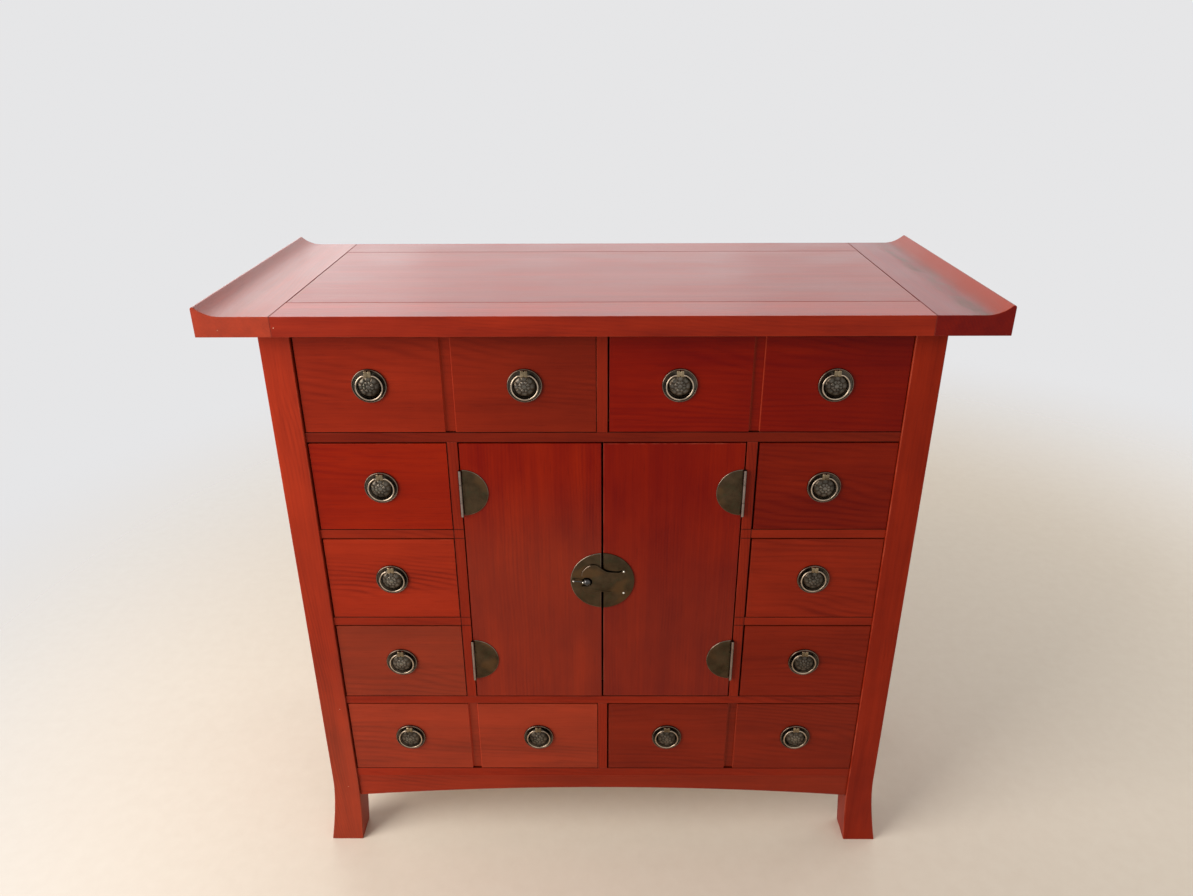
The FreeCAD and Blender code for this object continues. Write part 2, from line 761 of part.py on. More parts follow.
def main():
    os.makedirs("parts", exist_ok=True)
    export("top_panel", [top_panel])
    export("top_front_rail", [top_front_rail])
    export("top_back_rail", [top_back_rail])
    export("top_end_left", [top_end_left])
    export("top_end_right", [top_end_right])
    export("post_front_left", [post_front_left])
    export("post_front_right", [post_front_right])
    export("post_back_left", [post_back_left])
    export("post_back_right", [post_back_right])
    export("upper_rail", [upper_rail])
    export("lower_rail", [lower_rail])
    export("bottom_rail", [bottom_rail])
    export("apron", [apron])
    export("front_dividers", front_divider_solids())
    export("side_frames", side_frame_solids())
    export("back_panel", back_solids())
    export("inner_boards", inner_board_solids())
    export("drawer_runners", runner_solids())

    right_hinges = [right_door_hinge(z) for z in hinge_heights]
    frame_hinges = [right_frame_hinge(z) for z in hinge_heights]
    export("left_door", [left_door_solid()])
    export("right_door", [right_door_solid()])
    export("left_door_hinges", [mirrored(hinge) for hinge in right_hinges])
    export("right_door_hinges", right_hinges)
    export("frame_hinges", frame_hinges + [mirrored(hinge) for hinge in frame_hinges])
    stem_hole = rod(knob_stem_radius + joint_clearance, (knob_x, front_face - knob_height, knob_z),
                    (knob_x, front_face + cut_overrun, knob_z))
    export("left_lock_plate", [half_plate(-1, lock_plate_thickness).cut(stem_hole)])
    export("right_lock_plate", [half_plate(1, tongue_plate_thickness), tongue_solid()] + rivet_solids())
    export("turn_button", turn_button_solids())

    for name, opening, row, pulls, channel in drawer_places():
        z = (row[0] + row[1]) / 2
        plates = []
        for ring_name, x in pulls.items():
            plates += pull_plate_solids(x, z)
            export(name + "_" + ring_name, [ring_solid(x, z)])
        pull_places = [(x, z) for x in pulls.values()]
        export(name + "_drawer", drawer_solids(opening, row, pull_places, channel))
        export(name + "_pull_plates", plates)


main()
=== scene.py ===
import math

import bpy
from mathutils import Matrix, Vector


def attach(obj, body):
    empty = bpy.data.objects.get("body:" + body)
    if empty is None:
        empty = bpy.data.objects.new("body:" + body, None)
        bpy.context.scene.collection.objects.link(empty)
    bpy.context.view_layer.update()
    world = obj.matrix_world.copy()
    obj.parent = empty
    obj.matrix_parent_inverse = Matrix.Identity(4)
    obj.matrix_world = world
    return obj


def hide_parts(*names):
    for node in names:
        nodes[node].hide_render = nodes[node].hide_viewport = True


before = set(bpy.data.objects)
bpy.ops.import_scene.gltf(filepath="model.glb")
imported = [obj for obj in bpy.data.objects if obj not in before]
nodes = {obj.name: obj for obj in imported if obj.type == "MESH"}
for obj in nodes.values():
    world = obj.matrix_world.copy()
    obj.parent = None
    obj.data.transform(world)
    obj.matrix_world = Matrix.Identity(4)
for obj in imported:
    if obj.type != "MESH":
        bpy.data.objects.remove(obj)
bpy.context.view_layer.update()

MM = 0.001

# Places of the CAD model that this script needs, in millimetres
FRONT_FACE = -186.0
FRONT_EDGE = -214.0
POST_FACE = -189.0
POST_INNER = 393.0
STILE_INNER = 192.5
STILE_OUTER = 206.5
MUNTIN_HALF = 7.0
DRAWER_FRONT_BACK = -168.0
DRAWER_BACK_BOARD = 154.0
ROWS = {"bottom": (153, 284), "fourth": (298, 429), "third": (443, 576), "second": (590, 723),
        "top": (737, 870)}
WIDE_ROWS = ("top", "bottom")
OUTER_MIDDLE = (STILE_OUTER + POST_INNER) / 2
INNER_MIDDLE = (STILE_INNER + MUNTIN_HALF) / 2
BOARD_TOP = 903.0
TOP_END_INNER = 405.0
TOP_RAIL_INNER = 150.0
CHANNEL_MIDDLE = (STILE_INNER + STILE_OUTER) / 2
CHANNEL_HALF = (STILE_OUTER - STILE_INNER) / 2
DOOR_BACK = FRONT_FACE + 18.0
SIDE_PANEL_HEIGHTS = (187, 827)
SIDE_PANEL_INNER = 417
BACK_PANEL_HEIGHTS = (177, 837)
BACK_PANEL_FRONT = 190


# Camera at the photograph's angle
def add_camera():
    yaw = math.radians(-0.41)
    pitch = math.radians(24.657)
    roll = math.radians(-0.248)
    level = Vector((math.sin(yaw), math.cos(yaw), 0))
    side = Vector((math.cos(yaw), -math.sin(yaw), 0))
    up = Vector((0, 0, 1))
    forward = math.cos(pitch) * level - math.sin(pitch) * up
    upward = math.sin(pitch) * level + math.cos(pitch) * up
    right = math.cos(roll) * side + math.sin(roll) * upward
    top = -math.sin(roll) * side + math.cos(roll) * upward
    data = bpy.data.cameras.new("camera")
    data.lens = 26.555
    data.sensor_width = 36
    camera = bpy.data.objects.new("camera", data)
    bpy.context.scene.collection.objects.link(camera)
    turn = Matrix((right, top, -forward)).transposed().to_4x4()
    place = (0, -1.2482, 1.2022)
    camera.matrix_world = Matrix.Translation(place) @ turn
    bpy.context.scene.camera = camera


add_camera()


# Short ways to write shader nodes
class Tree:
    def __init__(self, node_tree):
        self.nodes = node_tree.nodes
        self.links = node_tree.links

    def add(self, kind, inputs=(), **settings):
        """Node of a kind. inputs gives values or sockets by socket name or number."""
        node = self.nodes.new("ShaderNode" + kind)
        for name, value in settings.items():
            setattr(node, name, value)
        for name, value in dict(inputs).items():
            if isinstance(value, bpy.types.NodeSocket):
                self.links.new(value, node.inputs[name])
            else:
                node.inputs[name].default_value = value
        return node

    def math(self, operation, *values):
        return self.add("Math", enumerate(values), operation=operation).outputs[0]

    def times(self, product, *factors):
        for factor in factors:
            product = self.math("MULTIPLY", product, factor)
        return product

    def least(self, value, *others):
        for other in others:
            value = self.math("MINIMUM", value, other)
        return value

    def scaled(self, value, factor, plus):
        return self.math("MULTIPLY_ADD", value, factor, plus)

    def vector(self, operation, *values):
        return self.add("VectorMath", enumerate(values), operation=operation).outputs[0]

    def distance(self, first, second):
        return self.add("VectorMath", {0: first, 1: second}, operation="DISTANCE").outputs["Value"]

    def above(self, value, limit):
        """Mask of where a value in metres is above a limit in millimetres."""
        return self.math("GREATER_THAN", value, limit * MM)

    def below(self, value, limit):
        return self.math("LESS_THAN", value, limit * MM)

    def span(self, value, low, high, out_low=0.0, out_high=1.0, smooth=False):
        """Value moved from one span to another and held inside it."""
        kind = "SMOOTHSTEP" if smooth else "LINEAR"
        inputs = {0: value, 1: low, 2: high, 3: out_low, 4: out_high}
        return self.add("MapRange", inputs, interpolation_type=kind).outputs[0]

    def mix(self, share, first, second):
        """Colour between two colours."""
        return self.blend("MIX", share, first, second)

    def mix_value(self, share, first, second):
        return self.add("Mix", {0: share, 2: first, 3: second}).outputs[0]

    def mix_vector(self, share, first, second):
        return self.add("Mix", {0: share, 4: first, 5: second}, data_type="VECTOR").outputs[1]

    def blend(self, way, share, first, second):
        return self.add("Mix", {0: share, 6: first, 7: second}, data_type="RGBA", blend_type=way).outputs[2]

    def noise(self, vector, scale, detail=2.0, roughness=0.5):
        """Noise with its own scale along each axis, from 0 to 1."""
        stretched = self.vector("MULTIPLY", vector, scale)
        inputs = {"Vector": stretched, "Scale": 1.0, "Detail": detail, "Roughness": roughness}
        return self.add("TexNoise", inputs).outputs[0]

    def combine(self, x, y, z):
        return self.add("CombineXYZ", {0: x, 1: y, 2: z}).outputs[0]

    def separate(self, vector):
        return self.add("SeparateXYZ", {0: vector}).outputs


def colour(red, green, blue):
    return (red, green, blue, 1.0)


def new_material(name):
    material = bpy.data.materials.new(name)
    material.use_nodes = True
    material.node_tree.nodes.clear()
    return material, Tree(material.node_tree)


def fill_slots(mesh, materials):
    mesh.materials.clear()
    for material in materials:
        mesh.materials.append(material)


def finish_material(tree, inputs, height, bump):
    """Principled surface with these inputs, and a bump as many millimetres high where height is 1."""
    bumped = tree.add("Bump", {"Strength": 1.0, "Distance": bump * MM, "Height": height})
    shader = tree.add("BsdfPrincipled", {**inputs, "Normal": bumped.outputs[0]})
    tree.add("OutputMaterial", {0: shader.outputs[0]})


# Wood figure, worked out in one node group. Grain runs along x of the vector that it is given, in metres.
MARKS = ("Rings", "Fibre", "Streak", "Pores", "Mottle")
RING_SPACING = 0.0042


def make_figure_group():
    """Growth lines, fibre, streaks, pores and mottle of a sawn board, each from 0 to 1."""
    group = bpy.data.node_groups.new("wood_figure", "ShaderNodeTree")
    for name in ("Vector", "Pith"):
        group.interface.new_socket(name, in_out="INPUT", socket_type="NodeSocketVector")
    for name in MARKS:
        group.interface.new_socket(name, in_out="OUTPUT", socket_type="NodeSocketFloat")
    tree = Tree(group)
    start = group.nodes.new("NodeGroupInput").outputs
    end = group.nodes.new("NodeGroupOutput").inputs
    place = start["Vector"]
    sway = tree.noise(place, (2.2, 7.0, 7.0), 2.0)
    ripple = tree.noise(place, (9.0, 40.0, 40.0), 1.0)
    swayed = tree.scaled(sway, 0.05, tree.times(ripple, 0.004))
    x, y, z = tree.separate(place)
    pith_y, pith_z, tilt = tree.separate(start["Pith"])
    across = tree.math("SUBTRACT", tree.math("ADD", y, swayed), pith_y)
    deep = tree.scaled(x, tilt, tree.math("SUBTRACT", z, pith_z))
    square = tree.scaled(across, across, tree.times(deep, deep))
    radius = tree.math("SQRT", square)
    turn = tree.math("SINE", tree.times(radius, 2 * math.pi / RING_SPACING))
    line = tree.math("POWER", tree.scaled(turn, 0.5, 0.5), 2.0)
    strong = tree.span(tree.noise(place, (3.0, 14.0, 14.0), 2.0), 0.38, 0.66, smooth=True)
    rings = tree.times(line, strong)
    fibre = tree.noise(place, (9.0, 420.0, 420.0), 3.0, 0.65)
    streak = tree.noise(place, (1.6, 55.0, 55.0), 3.0, 0.6)
    pores = tree.span(tree.noise(place, (38.0, 1100.0, 1100.0), 1.0), 0.62, 0.72)
    mottle = tree.noise(place, (8.0, 16.0, 16.0), 3.0, 0.55)
    for name, value in zip(MARKS, (rings, fibre, streak, pores, mottle)):
        tree.links.new(value, end[name])
    return group


figure_group = make_figure_group()


def figure(tree, place, pith):
    return tree.add("Group", {"Vector": place, "Pith": pith}, node_tree=figure_group).outputs


AXES = {"x": (0, 1, 2), "y": (1, 0, 2), "z": (2, 0, 1)}


def grain_place(tree, axis, seed):
    """Object coordinates with the grain turned to x, moved so that no two boards look alike."""
    at = tree.separate(tree.add("TexCoord").outputs["Object"])
    along, across, deep = (at[number] for number in AXES[axis])
    shift = (0.37 * seed, 0.61 * seed, 0.23 * seed)
    return tree.vector("ADD", tree.combine(along, across, deep), shift)


def weighed(tree, marks, weights, start=0.0):
    """A number or socket to start from, and each of these marks times its weight."""
    for name, weight in weights.items():
        start = tree.scaled(marks[name], weight, start)
    return start


def lacquer_surface(tree, place, pith, deep, bright, edge_highlight, lines, blotch):
    """Colour, roughness and height of stained and lacquered wood. lines is how strongly the growth lines
    show through, blotch how unevenly the stained colour has taken. With the arris flag, lighter rubbed
    patches are added, which also stand in for the highlight along the arris."""
    marks = figure(tree, place, pith)
    weights = {"Fibre": 0.6, "Streak": 0.9, "Mottle": blotch}
    centring = 0.5 - 0.5 * sum(weights.values()) + 0.2 * lines
    tone = weighed(tree, marks, {**weights, "Rings": -lines}, centring)
    shade = tree.mix(tree.span(tone, 0.0, 1.0), deep, bright)
    shade = tree.blend("MULTIPLY", tree.times(marks["Pores"], 0.25), shade, colour(0.45, 0.3, 0.3))
    # Lighter rubbed lacquer in patches, which also stands in for the highlight along the arris.
    if edge_highlight:
        rub = tree.noise(place, (26.0, 90.0, 90.0), 3.0, 0.6)
        rubbed = tree.span(rub, 0.40, 0.66, 0.04, 0.5)
        shade = tree.mix(rubbed, shade, RUBBED_AND_LIT_RED)
    roughness = weighed(tree, marks, {"Mottle": 0.14, "Fibre": 0.08}, 0.30)
    height = weighed(tree, marks, {"Rings": -0.6, "Pores": -1.2}, marks["Fibre"])
    return shade, roughness, height


def bare_surface(tree, place, pith):
    """Colour, roughness and height of unpainted wood."""
    marks = figure(tree, place, pith)
    tone = weighed(tree, marks, {"Streak": 0.6, "Fibre": 0.7, "Rings": -0.55, "Mottle": 0.5})
    shade = tree.mix(tree.span(tone, 0.25, 1.15), colour(0.33, 0.19, 0.09), colour(0.62, 0.43, 0.25))
    shade = tree.blend("MULTIPLY", tree.times(marks["Pores"], 0.5), shade, colour(0.5, 0.4, 0.3))
    roughness = tree.scaled(marks["Fibre"], 0.12, 0.55)
    height = tree.scaled(marks["Rings"], -0.8, marks["Fibre"])
    return shade, roughness, height


# The two reds of the lacquer; what is added where they are dull, which also paints the floor's reflection low
# # on some boards; the lighter red of rubbed arrises, which also stands in for their highlight; and the
# colours
# # of dirt, of chips and of painted shade
DEEP_RED = (0.165, 0.0090, 0.0021)
BRIGHT_RED = (0.315, 0.0220, 0.0049)
DULL_AND_REFLECTION = (0.0, 0.017, 0.0095)
RUBBED_AND_LIT_RED = colour(0.44, 0.08, 0.04)
JOINT_DIRT = colour(0.19, 0.020, 0.012)
BEND_DIRT = colour(0.15, 0.062, 0.035)
CHIPPED_WOOD = colour(0.72, 0.50, 0.36)
BLACK = colour(0.0, 0.0, 0.0)
PITH = (0.05, -0.06, 0.12)


def distance_to(tree, value, places):
    """Distance from a value to the nearest of these places, which are in millimetres."""
    return tree.least(*(tree.math("ABSOLUTE", tree.math("SUBTRACT", value, place * MM)) for place in places))


def joint_lines(tree, at, seams):
    """Mask of the dirt along joints, fainter below the board's top face. seams are (axis, distance from the
    middle) in millimetres, on both sides of the middle."""
    nearest = tree.least(*(distance_to(tree, tree.math("ABSOLUTE", at["xyz".index(axis)]), (distance,))
                           for axis, distance in seams))
    on_top = tree.span(at[2], (BOARD_TOP - 1.5) * MM, (BOARD_TOP - 0.5) * MM, 0.4, 1.0)
    return tree.times(tree.span(nearest, 0.5 * MM, 1.2 * MM, 0.95, 0.0), on_top)


def chip(tree, object_place, x, y, z, radius):
    """Mask of a ragged spot round a place in millimetres."""
    away = tree.distance(object_place, (x * MM, y * MM, z * MM))
    ragged = tree.noise(object_place, (900.0, 900.0, 900.0), 2.0)
    reach = tree.scaled(ragged, radius * 0.8 * MM, away)
    return tree.below(reach, radius * 1.2)


def wood(name, axis="x", seed=1.0, tint=1.0, pith=PITH, bare=None, cross=None, edge_highlight=False, chips=(),
         seams=(), lines=0.3, blotch=0.9, specular=0.1, coat=0.0, upward_light=1.0, haze=0.0, dust=None,
         shaded=(), stains=()):
    """Lacquered wood. bare(tree, x, y, z) gives a mask of unpainted wood, cross gives (axis, mask) for the
    boards that run the other way, and chips are (x, y, z, radius) in millimetres where the lacquer has gone.
    upward_light is how much lighter the faces are that look up, a painted light from above, and coat is the
    polish on them. haze is how dull or clear the red is, dust is a painted reflection of the pale
    floor: (more haze, height below which it is full, height where it ends). Each of shaded, a function of
    (tree, x, y, z), is how much darker a place is, as painted shade. Each of stains is such a
    function and a colour, some a stain of dirt and some painted light, and is only on the faces that look
    up if these are made lighter."""
    material, tree = new_material(name)
    place = grain_place(tree, axis, seed)
    texture = tree.add("TexCoord").outputs
    at = tree.separate(texture["Object"])
    if cross:
        place = tree.mix_vector(cross[1](tree, *at), place, grain_place(tree, cross[0], seed))
    deep, bright = (colour(*(max(0.0005, tint * value + haze * dull) for value, dull in zip(red, DULL_AND_REFLECTION)))
                    for red in (DEEP_RED, BRIGHT_RED))
    shade, roughness, height = lacquer_surface(tree, place, pith, deep, bright, edge_highlight, lines, blotch)
    # Painted light from above: the faces that look up are made lighter, and only they get the coat.
    upward_lit = upward_light != 1.0
    if upward_lit:
        lit = tree.span(tree.separate(texture["Normal"])[2], 0.3, 0.8, smooth=True)
        shade = tree.blend("MULTIPLY", lit, shade, colour(upward_light, upward_light, upward_light))
        coat = tree.times(lit, coat)
    # Painted reflection of the pale floor: more haze on the lower part of the board, fading out higher up.
    if dust:
        reflection_haze, full_height, end_height = dust
        share = tree.span(at[2], full_height * MM, end_height * MM, reflection_haze, 0.0, smooth=True)
        shade = tree.blend("ADD", share, shade, colour(*DULL_AND_REFLECTION))
    # Painted shade: each of these darkens a place.
    for darker in shaded:
        shade = tree.blend("MULTIPLY", darker(tree, *at), shade, BLACK)
    # Patches of colour: some are dirt, some painted light on a slope and in a drawer's channel.
    for mask, stain in stains:
        share = mask(tree, *at)
        if upward_lit:
            share = tree.times(share, lit)
            coat = tree.times(coat, tree.math("SUBTRACT", 1.0, share))
        shade = tree.mix(share, shade, stain)
    if seams:
        dirt = joint_lines(tree, at, seams)
        shade = tree.mix(dirt, shade, JOINT_DIRT)
        roughness = tree.mix_value(dirt, roughness, 0.95)
    for spot in chips:
        shade = tree.mix(chip(tree, texture["Object"], *spot), shade, CHIPPED_WOOD)
    if bare:
        mask = bare(tree, *at)
        bare_shade, bare_roughness, _ = bare_surface(tree, place, pith)
        shade = tree.mix(mask, shade, bare_shade)
        roughness = tree.mix_value(mask, roughness, bare_roughness)
    inputs = {"Base Color": shade, "Roughness": roughness, "IOR": 1.5, "Specular IOR Level": specular,
              "Coat Weight": coat, "Coat Roughness": 0.25}
    finish_material(tree, inputs, height, 0.035)
    return material


def plain_wood(name, axis, seed):
    material, tree = new_material(name)
    shade, roughness, height = bare_surface(tree, grain_place(tree, axis, seed), PITH)
    finish_material(tree, {"Base Color": shade, "Roughness": roughness}, height, 0.06)
    return material


# Masks over the object's own coordinates
def between(tree, value, low, high):
    return tree.times(tree.above(value, low), tree.below(value, high))


def drawer_box(tree, x, y, z):
    return tree.above(y, DRAWER_FRONT_BACK - 0.5)


def side_frame_inside(tree, x, y, z):
    return tree.below(tree.math("ABSOLUTE", x), SIDE_PANEL_INNER)


def back_panel_inside(tree, x, y, z):
    return tree.below(y, BACK_PANEL_FRONT)


def painted_falloff(start, end, share):
    """Painted shade of the light falling off to one side, from nothing at start to share at end."""
    return lambda tree, x, y, z: tree.span(x, start * MM, end * MM, 0.0, share)


def channel_painted_shade(share):
    """Painted shade on the floor of a wide drawer's channel, a recess."""
    def mask(tree, x, y, z):
        beside = between(tree, tree.math("ABSOLUTE", x), STILE_INNER, STILE_OUTER)
        floor = tree.above(y, FRONT_FACE + 1.5)
        return tree.times(beside, floor, share)
    return mask


def channel_painted_light(edge_highlight):
    """Painted light in the channel's left corner, which stands in shadow, to lighten that shadow, and a
    painted highlight of this share along the channel's right edge."""
    def mask(tree, x, y, z):
        beside = between(tree, tree.math("ABSOLUTE", x), STILE_INNER - 0.2, STILE_OUTER + 0.2)
        low = tree.above(y, FRONT_FACE + 0.4)
        off_middle = tree.scaled(tree.math("SIGN", x), -CHANNEL_MIDDLE * MM, x)
        corner = tree.span(off_middle, -CHANNEL_HALF * MM, -CHANNEL_HALF / 2 * MM, 0.55, 0.03)
        corner = tree.times(beside, low, corner)
        off_edge = distance_to(tree, off_middle, (CHANNEL_HALF + 0.3,))
        return tree.math("MAXIMUM", corner, tree.span(off_edge, 0.3 * MM, 0.7 * MM, edge_highlight, 0.0))
    return mask


def bend_dirt(share):
    """Patches of dirt where the flange starts to bend up, from 438 to 484 mm off the middle."""
    def mask(tree, x, y, z):
        away = tree.math("ABSOLUTE", x)
        inner = tree.span(away, 438 * MM, 456 * MM, smooth=True)
        outer = tree.span(away, 462 * MM, 484 * MM, 1.0, 0.0, smooth=True)
        cloud = tree.noise(tree.combine(x, y, z), (70.0, 22.0, 70.0), 3.0, 0.6)
        patches = tree.span(cloud, 0.42, 0.62, 0.15, share)
        return tree.times(inner, outer, patches)
    return mask


# Painted light: the flange's slope on the right end, which faces the window, gets a lighter, more orange red.
def lit_slope(tree, x, y, z):
    return tree.span(tree.math("ABSOLUTE", x), 464 * MM, 482 * MM, 0.0, 0.7, smooth=True)


# Painted shade, darker towards the bottom of the post.
def darker_low(tree, x, y, z):
    return tree.span(z, 200 * MM, 800 * MM, 0.15, 0.0)


def gap_painted_shade(heights, sides=()):
    """Painted shade along the gaps at these heights and at these distances from the middle, darkening the
    lacquer beside them. A height just outside the rail gives a thinner line."""
    def share(tree, x, y, z):
        nearest = distance_to(tree, z, heights)
        if sides:
            nearest = tree.least(nearest, distance_to(tree, tree.math("ABSOLUTE", x), sides))
        return tree.span(nearest, 0.5 * MM, 1.0 * MM, 0.7, 0.0)
    return share


def upright_dividers(tree, x, y, z):
    away = tree.math("ABSOLUTE", x)
    beside_doors = between(tree, away, STILE_INNER - 0.1, STILE_OUTER + 0.1)
    in_middle = tree.below(away, MUNTIN_HALF + 0.1)
    below_top = tree.below(z, ROWS["top"][1] - 0.05)
    below_rail = tree.below(z, ROWS["second"][1])
    return tree.math("MAXIMUM", tree.times(beside_doors, below_rail), tree.times(in_middle, below_top))


def drawer_sides(tree, x, y, z):
    return between(tree, y, DRAWER_FRONT_BACK - 0.5, DRAWER_BACK_BOARD - 0.1)


def above_and_below(heights):
    """The rails over and under a panel that fills these heights."""
    def mask(tree, x, y, z):
        low = tree.below(z, heights[0])
        return tree.math("MAXIMUM", low, tree.above(z, heights[1]))
    return mask


# Carried-over wood gets eased arrises, with a second material where the lacquer is rubbed and lighter,
# # which also stands in for the highlight along the arris
def ease(node, width):
    weld = node.modifiers.new("weld", "WELD")
    weld.merge_threshold = 1e-6
    flat = node.modifiers.new("flat", "DECIMATE")
    flat.decimate_type = "DISSOLVE"
    flat.angle_limit = math.radians(0.5)
    bevel = node.modifiers.new("ease", "BEVEL")
    bevel.limit_method = "ANGLE"
    bevel.angle_limit = math.radians(40)
    bevel.width = width * MM
    bevel.segments = 2
    bevel.material = 1
    weighted = node.modifiers.new("weighted", "WEIGHTED_NORMAL")
    weighted.weight = 100


def dress(name, width=0.9, **kind):
    """Wood for a CAD node, and the same wood rubbed and lighter for its arrises, which also paints their
    highlight.
    """
    node = nodes[name]
    fill_slots(node.data, [wood(name + "_wood", **kind), wood(name + "_arris", edge_highlight=True, **kind)])
    ease(node, width)


def dress_top():
    chips = [(-401, FRONT_EDGE, 889, 0.8), (-470, FRONT_EDGE, 886, 0.5)]
    # The faces of the top that look up are made lighter, as painted light from above.
    polish = {"specular": 0.15, "coat": 0.18, "lines": 0.12, "blotch": 0.6, "tint": 1.1, "upward_light": 1.25}
    joints = (("x", TOP_END_INNER), ("y", TOP_RAIL_INNER))
    # Lighter red painted on the right slope that faces the window, as painted light.
    lit_slope_red = colour(0.42, 0.055, 0.017)
    dress("top_panel", width=0.5, axis="x", seed=1.3, pith=(0.02, 0.30, 0.05), seams=joints, **polish)
    dress("top_front_rail", axis="x", seed=2.1, chips=chips, seams=joints,
          **{**polish, "blotch": 1.6, "upward_light": 1.5, "haze": -0.05})
    dress("top_back_rail", axis="x", seed=3.4, seams=joints, **polish)
    dress("top_end_left", axis="y", seed=4.2, chips=chips, seams=joints[:1],
          stains=((bend_dirt(0.2), BEND_DIRT),),
          **{**polish, "tint": 1.42, "haze": 0.9, "upward_light": 1.08, "coat": 0.24})
    dress("top_end_right", axis="y", seed=5.8, seams=joints[:1],
          stains=((lit_slope, lit_slope_red), (bend_dirt(0.75), BEND_DIRT)),
          **{**polish, "tint": 0.68, "upward_light": 1.7, "haze": -0.5})


def dress_carcass():
    left_chips = [(-403.7, POST_FACE, 274.6, 0.6), (-409.5, POST_FACE, 116.5, 0.6)]
    # The left post's tint, higher than the right post's, is partly painted light from the window side.
    dress("post_front_left", width=1.4, axis="z", seed=6.3, tint=1.36, chips=left_chips, blotch=1.2,
          haze=0.25, dust=(0.8, 150, 450), shaded=(darker_low,))
    dress("post_front_right", width=1.4, axis="z", seed=7.7, tint=1.0, blotch=1.2, haze=-0.1)
    dress("post_back_left", width=1.4, axis="z", seed=8.1)
    dress("post_back_right", width=1.4, axis="z", seed=9.9)
    # The upper rail's low tint partly paints the shadow that falls on it.
    dress("upper_rail", width=0.5, axis="x", seed=10.4, tint=0.66, shaded=(gap_painted_shade((723, 737.3)),))
    dress("lower_rail", width=0.5, axis="x", seed=11.2, tint=0.95, shaded=(gap_painted_shade((284, 298.3)),))
    # The bottom rail and apron get painted shade that grows to the right, as the light falls off.
    dress("bottom_rail", width=0.5, axis="x", seed=12.6, tint=1.12,
          shaded=(gap_painted_shade((153.3,)), painted_falloff(-350, 0, 0.17)))
    dress("apron", axis="x", seed=13.1, tint=1.12, haze=0.35, shaded=(painted_falloff(-350, 0, 0.16),))
    dress("front_dividers", width=0.5, axis="x", seed=14.8, tint=0.93, cross=("z", upright_dividers),
          shaded=(gap_painted_shade((429, 443.3, 576, 590.3), (STILE_OUTER,)),))
    dress("side_frames", axis="z", seed=15.5, specular=0.2,
          cross=("y", above_and_below(SIDE_PANEL_HEIGHTS)), bare=side_frame_inside)
    dress("back_panel", axis="z", seed=16.2, specular=0.2,
          cross=("x", above_and_below(BACK_PANEL_HEIGHTS)), bare=back_panel_inside)
    for name, axis, seed in (("inner_boards", "x", 17.3), ("drawer_runners", "y", 18.4)):
        fill_slots(nodes[name].data, [plain_wood(name + "_wood", axis, seed)])


# Tint, growth lines and haze of each drawer's front. The tints, lighter on the left and darker on the right,
# # are partly painted light falling off from the window side.
FRONTS = {
    "top_left": (1.02, 0.3, 0.0), "top_right": (0.79, 0.3, -0.5), "second_left": (0.92, 0.9, -0.4),
    "second_right": (0.74, 0.3, -0.2), "third_left": (1.15, 0.6, 0.0), "third_right": (0.96, 0.6, 0.0),
    "fourth_left": (0.90, 0.3, 0.7), "fourth_right": (0.81, 0.3, 0.0), "bottom_left": (1.15, 0.25, 0.75),
    "bottom_right": (0.79, 0.3, 0.1),
}
# Painted shade on some fronts: the light falling off across a board, and shade on a channel's floor.
SHADED_FRONTS = {
    "top_left": (channel_painted_shade(0.06), painted_falloff(-300, -80, 0.3)),
    "top_right": (painted_falloff(120, 330, 0.13),),
    "bottom_left": (channel_painted_shade(0.2),),
    "bottom_right": (channel_painted_shade(0.15),),
}


def dress_fronts():
    # The doors' tints, lighter on the left, are partly painted light from the window side, and their lower
    # parts carry a painted reflection of the floor.
    dress("left_door", axis="z", seed=19.6, tint=0.9, pith=(0.16, 0.20, 0.03), lines=0.15, blotch=1.2,
          haze=-0.4, dust=(0.75, 520, 700))
    dress("right_door", axis="z", seed=21.3, tint=0.81, pith=(-0.12, 0.22, 0.04), lines=0.15, blotch=1.2,
          haze=-0.45, dust=(0.6, 400, 700))
    for number, (name, (tint, lines, haze)) in enumerate(FRONTS.items()):
        stains = ()
        # Wide drawers get painted light in their channel: a lighter shadowed corner and a highlight on its
        # right edge.
        if name.startswith(WIDE_ROWS):
            edge_highlight = 0.2 if name == "bottom_right" else 0.35
            stains = ((channel_painted_light(edge_highlight), colour(0.62 * tint, 0.06, 0.02)),)
        dress(name + "_drawer", axis="x", seed=22.0 + number, tint=tint, lines=lines, haze=haze,
              pith=(0.03 * number, -0.08, 0.1), bare=drawer_box, cross=("y", drawer_sides),
              shaded=SHADED_FRONTS.get(name, ()), stains=stains)


dress_top()
dress_carcass()
dress_fronts()


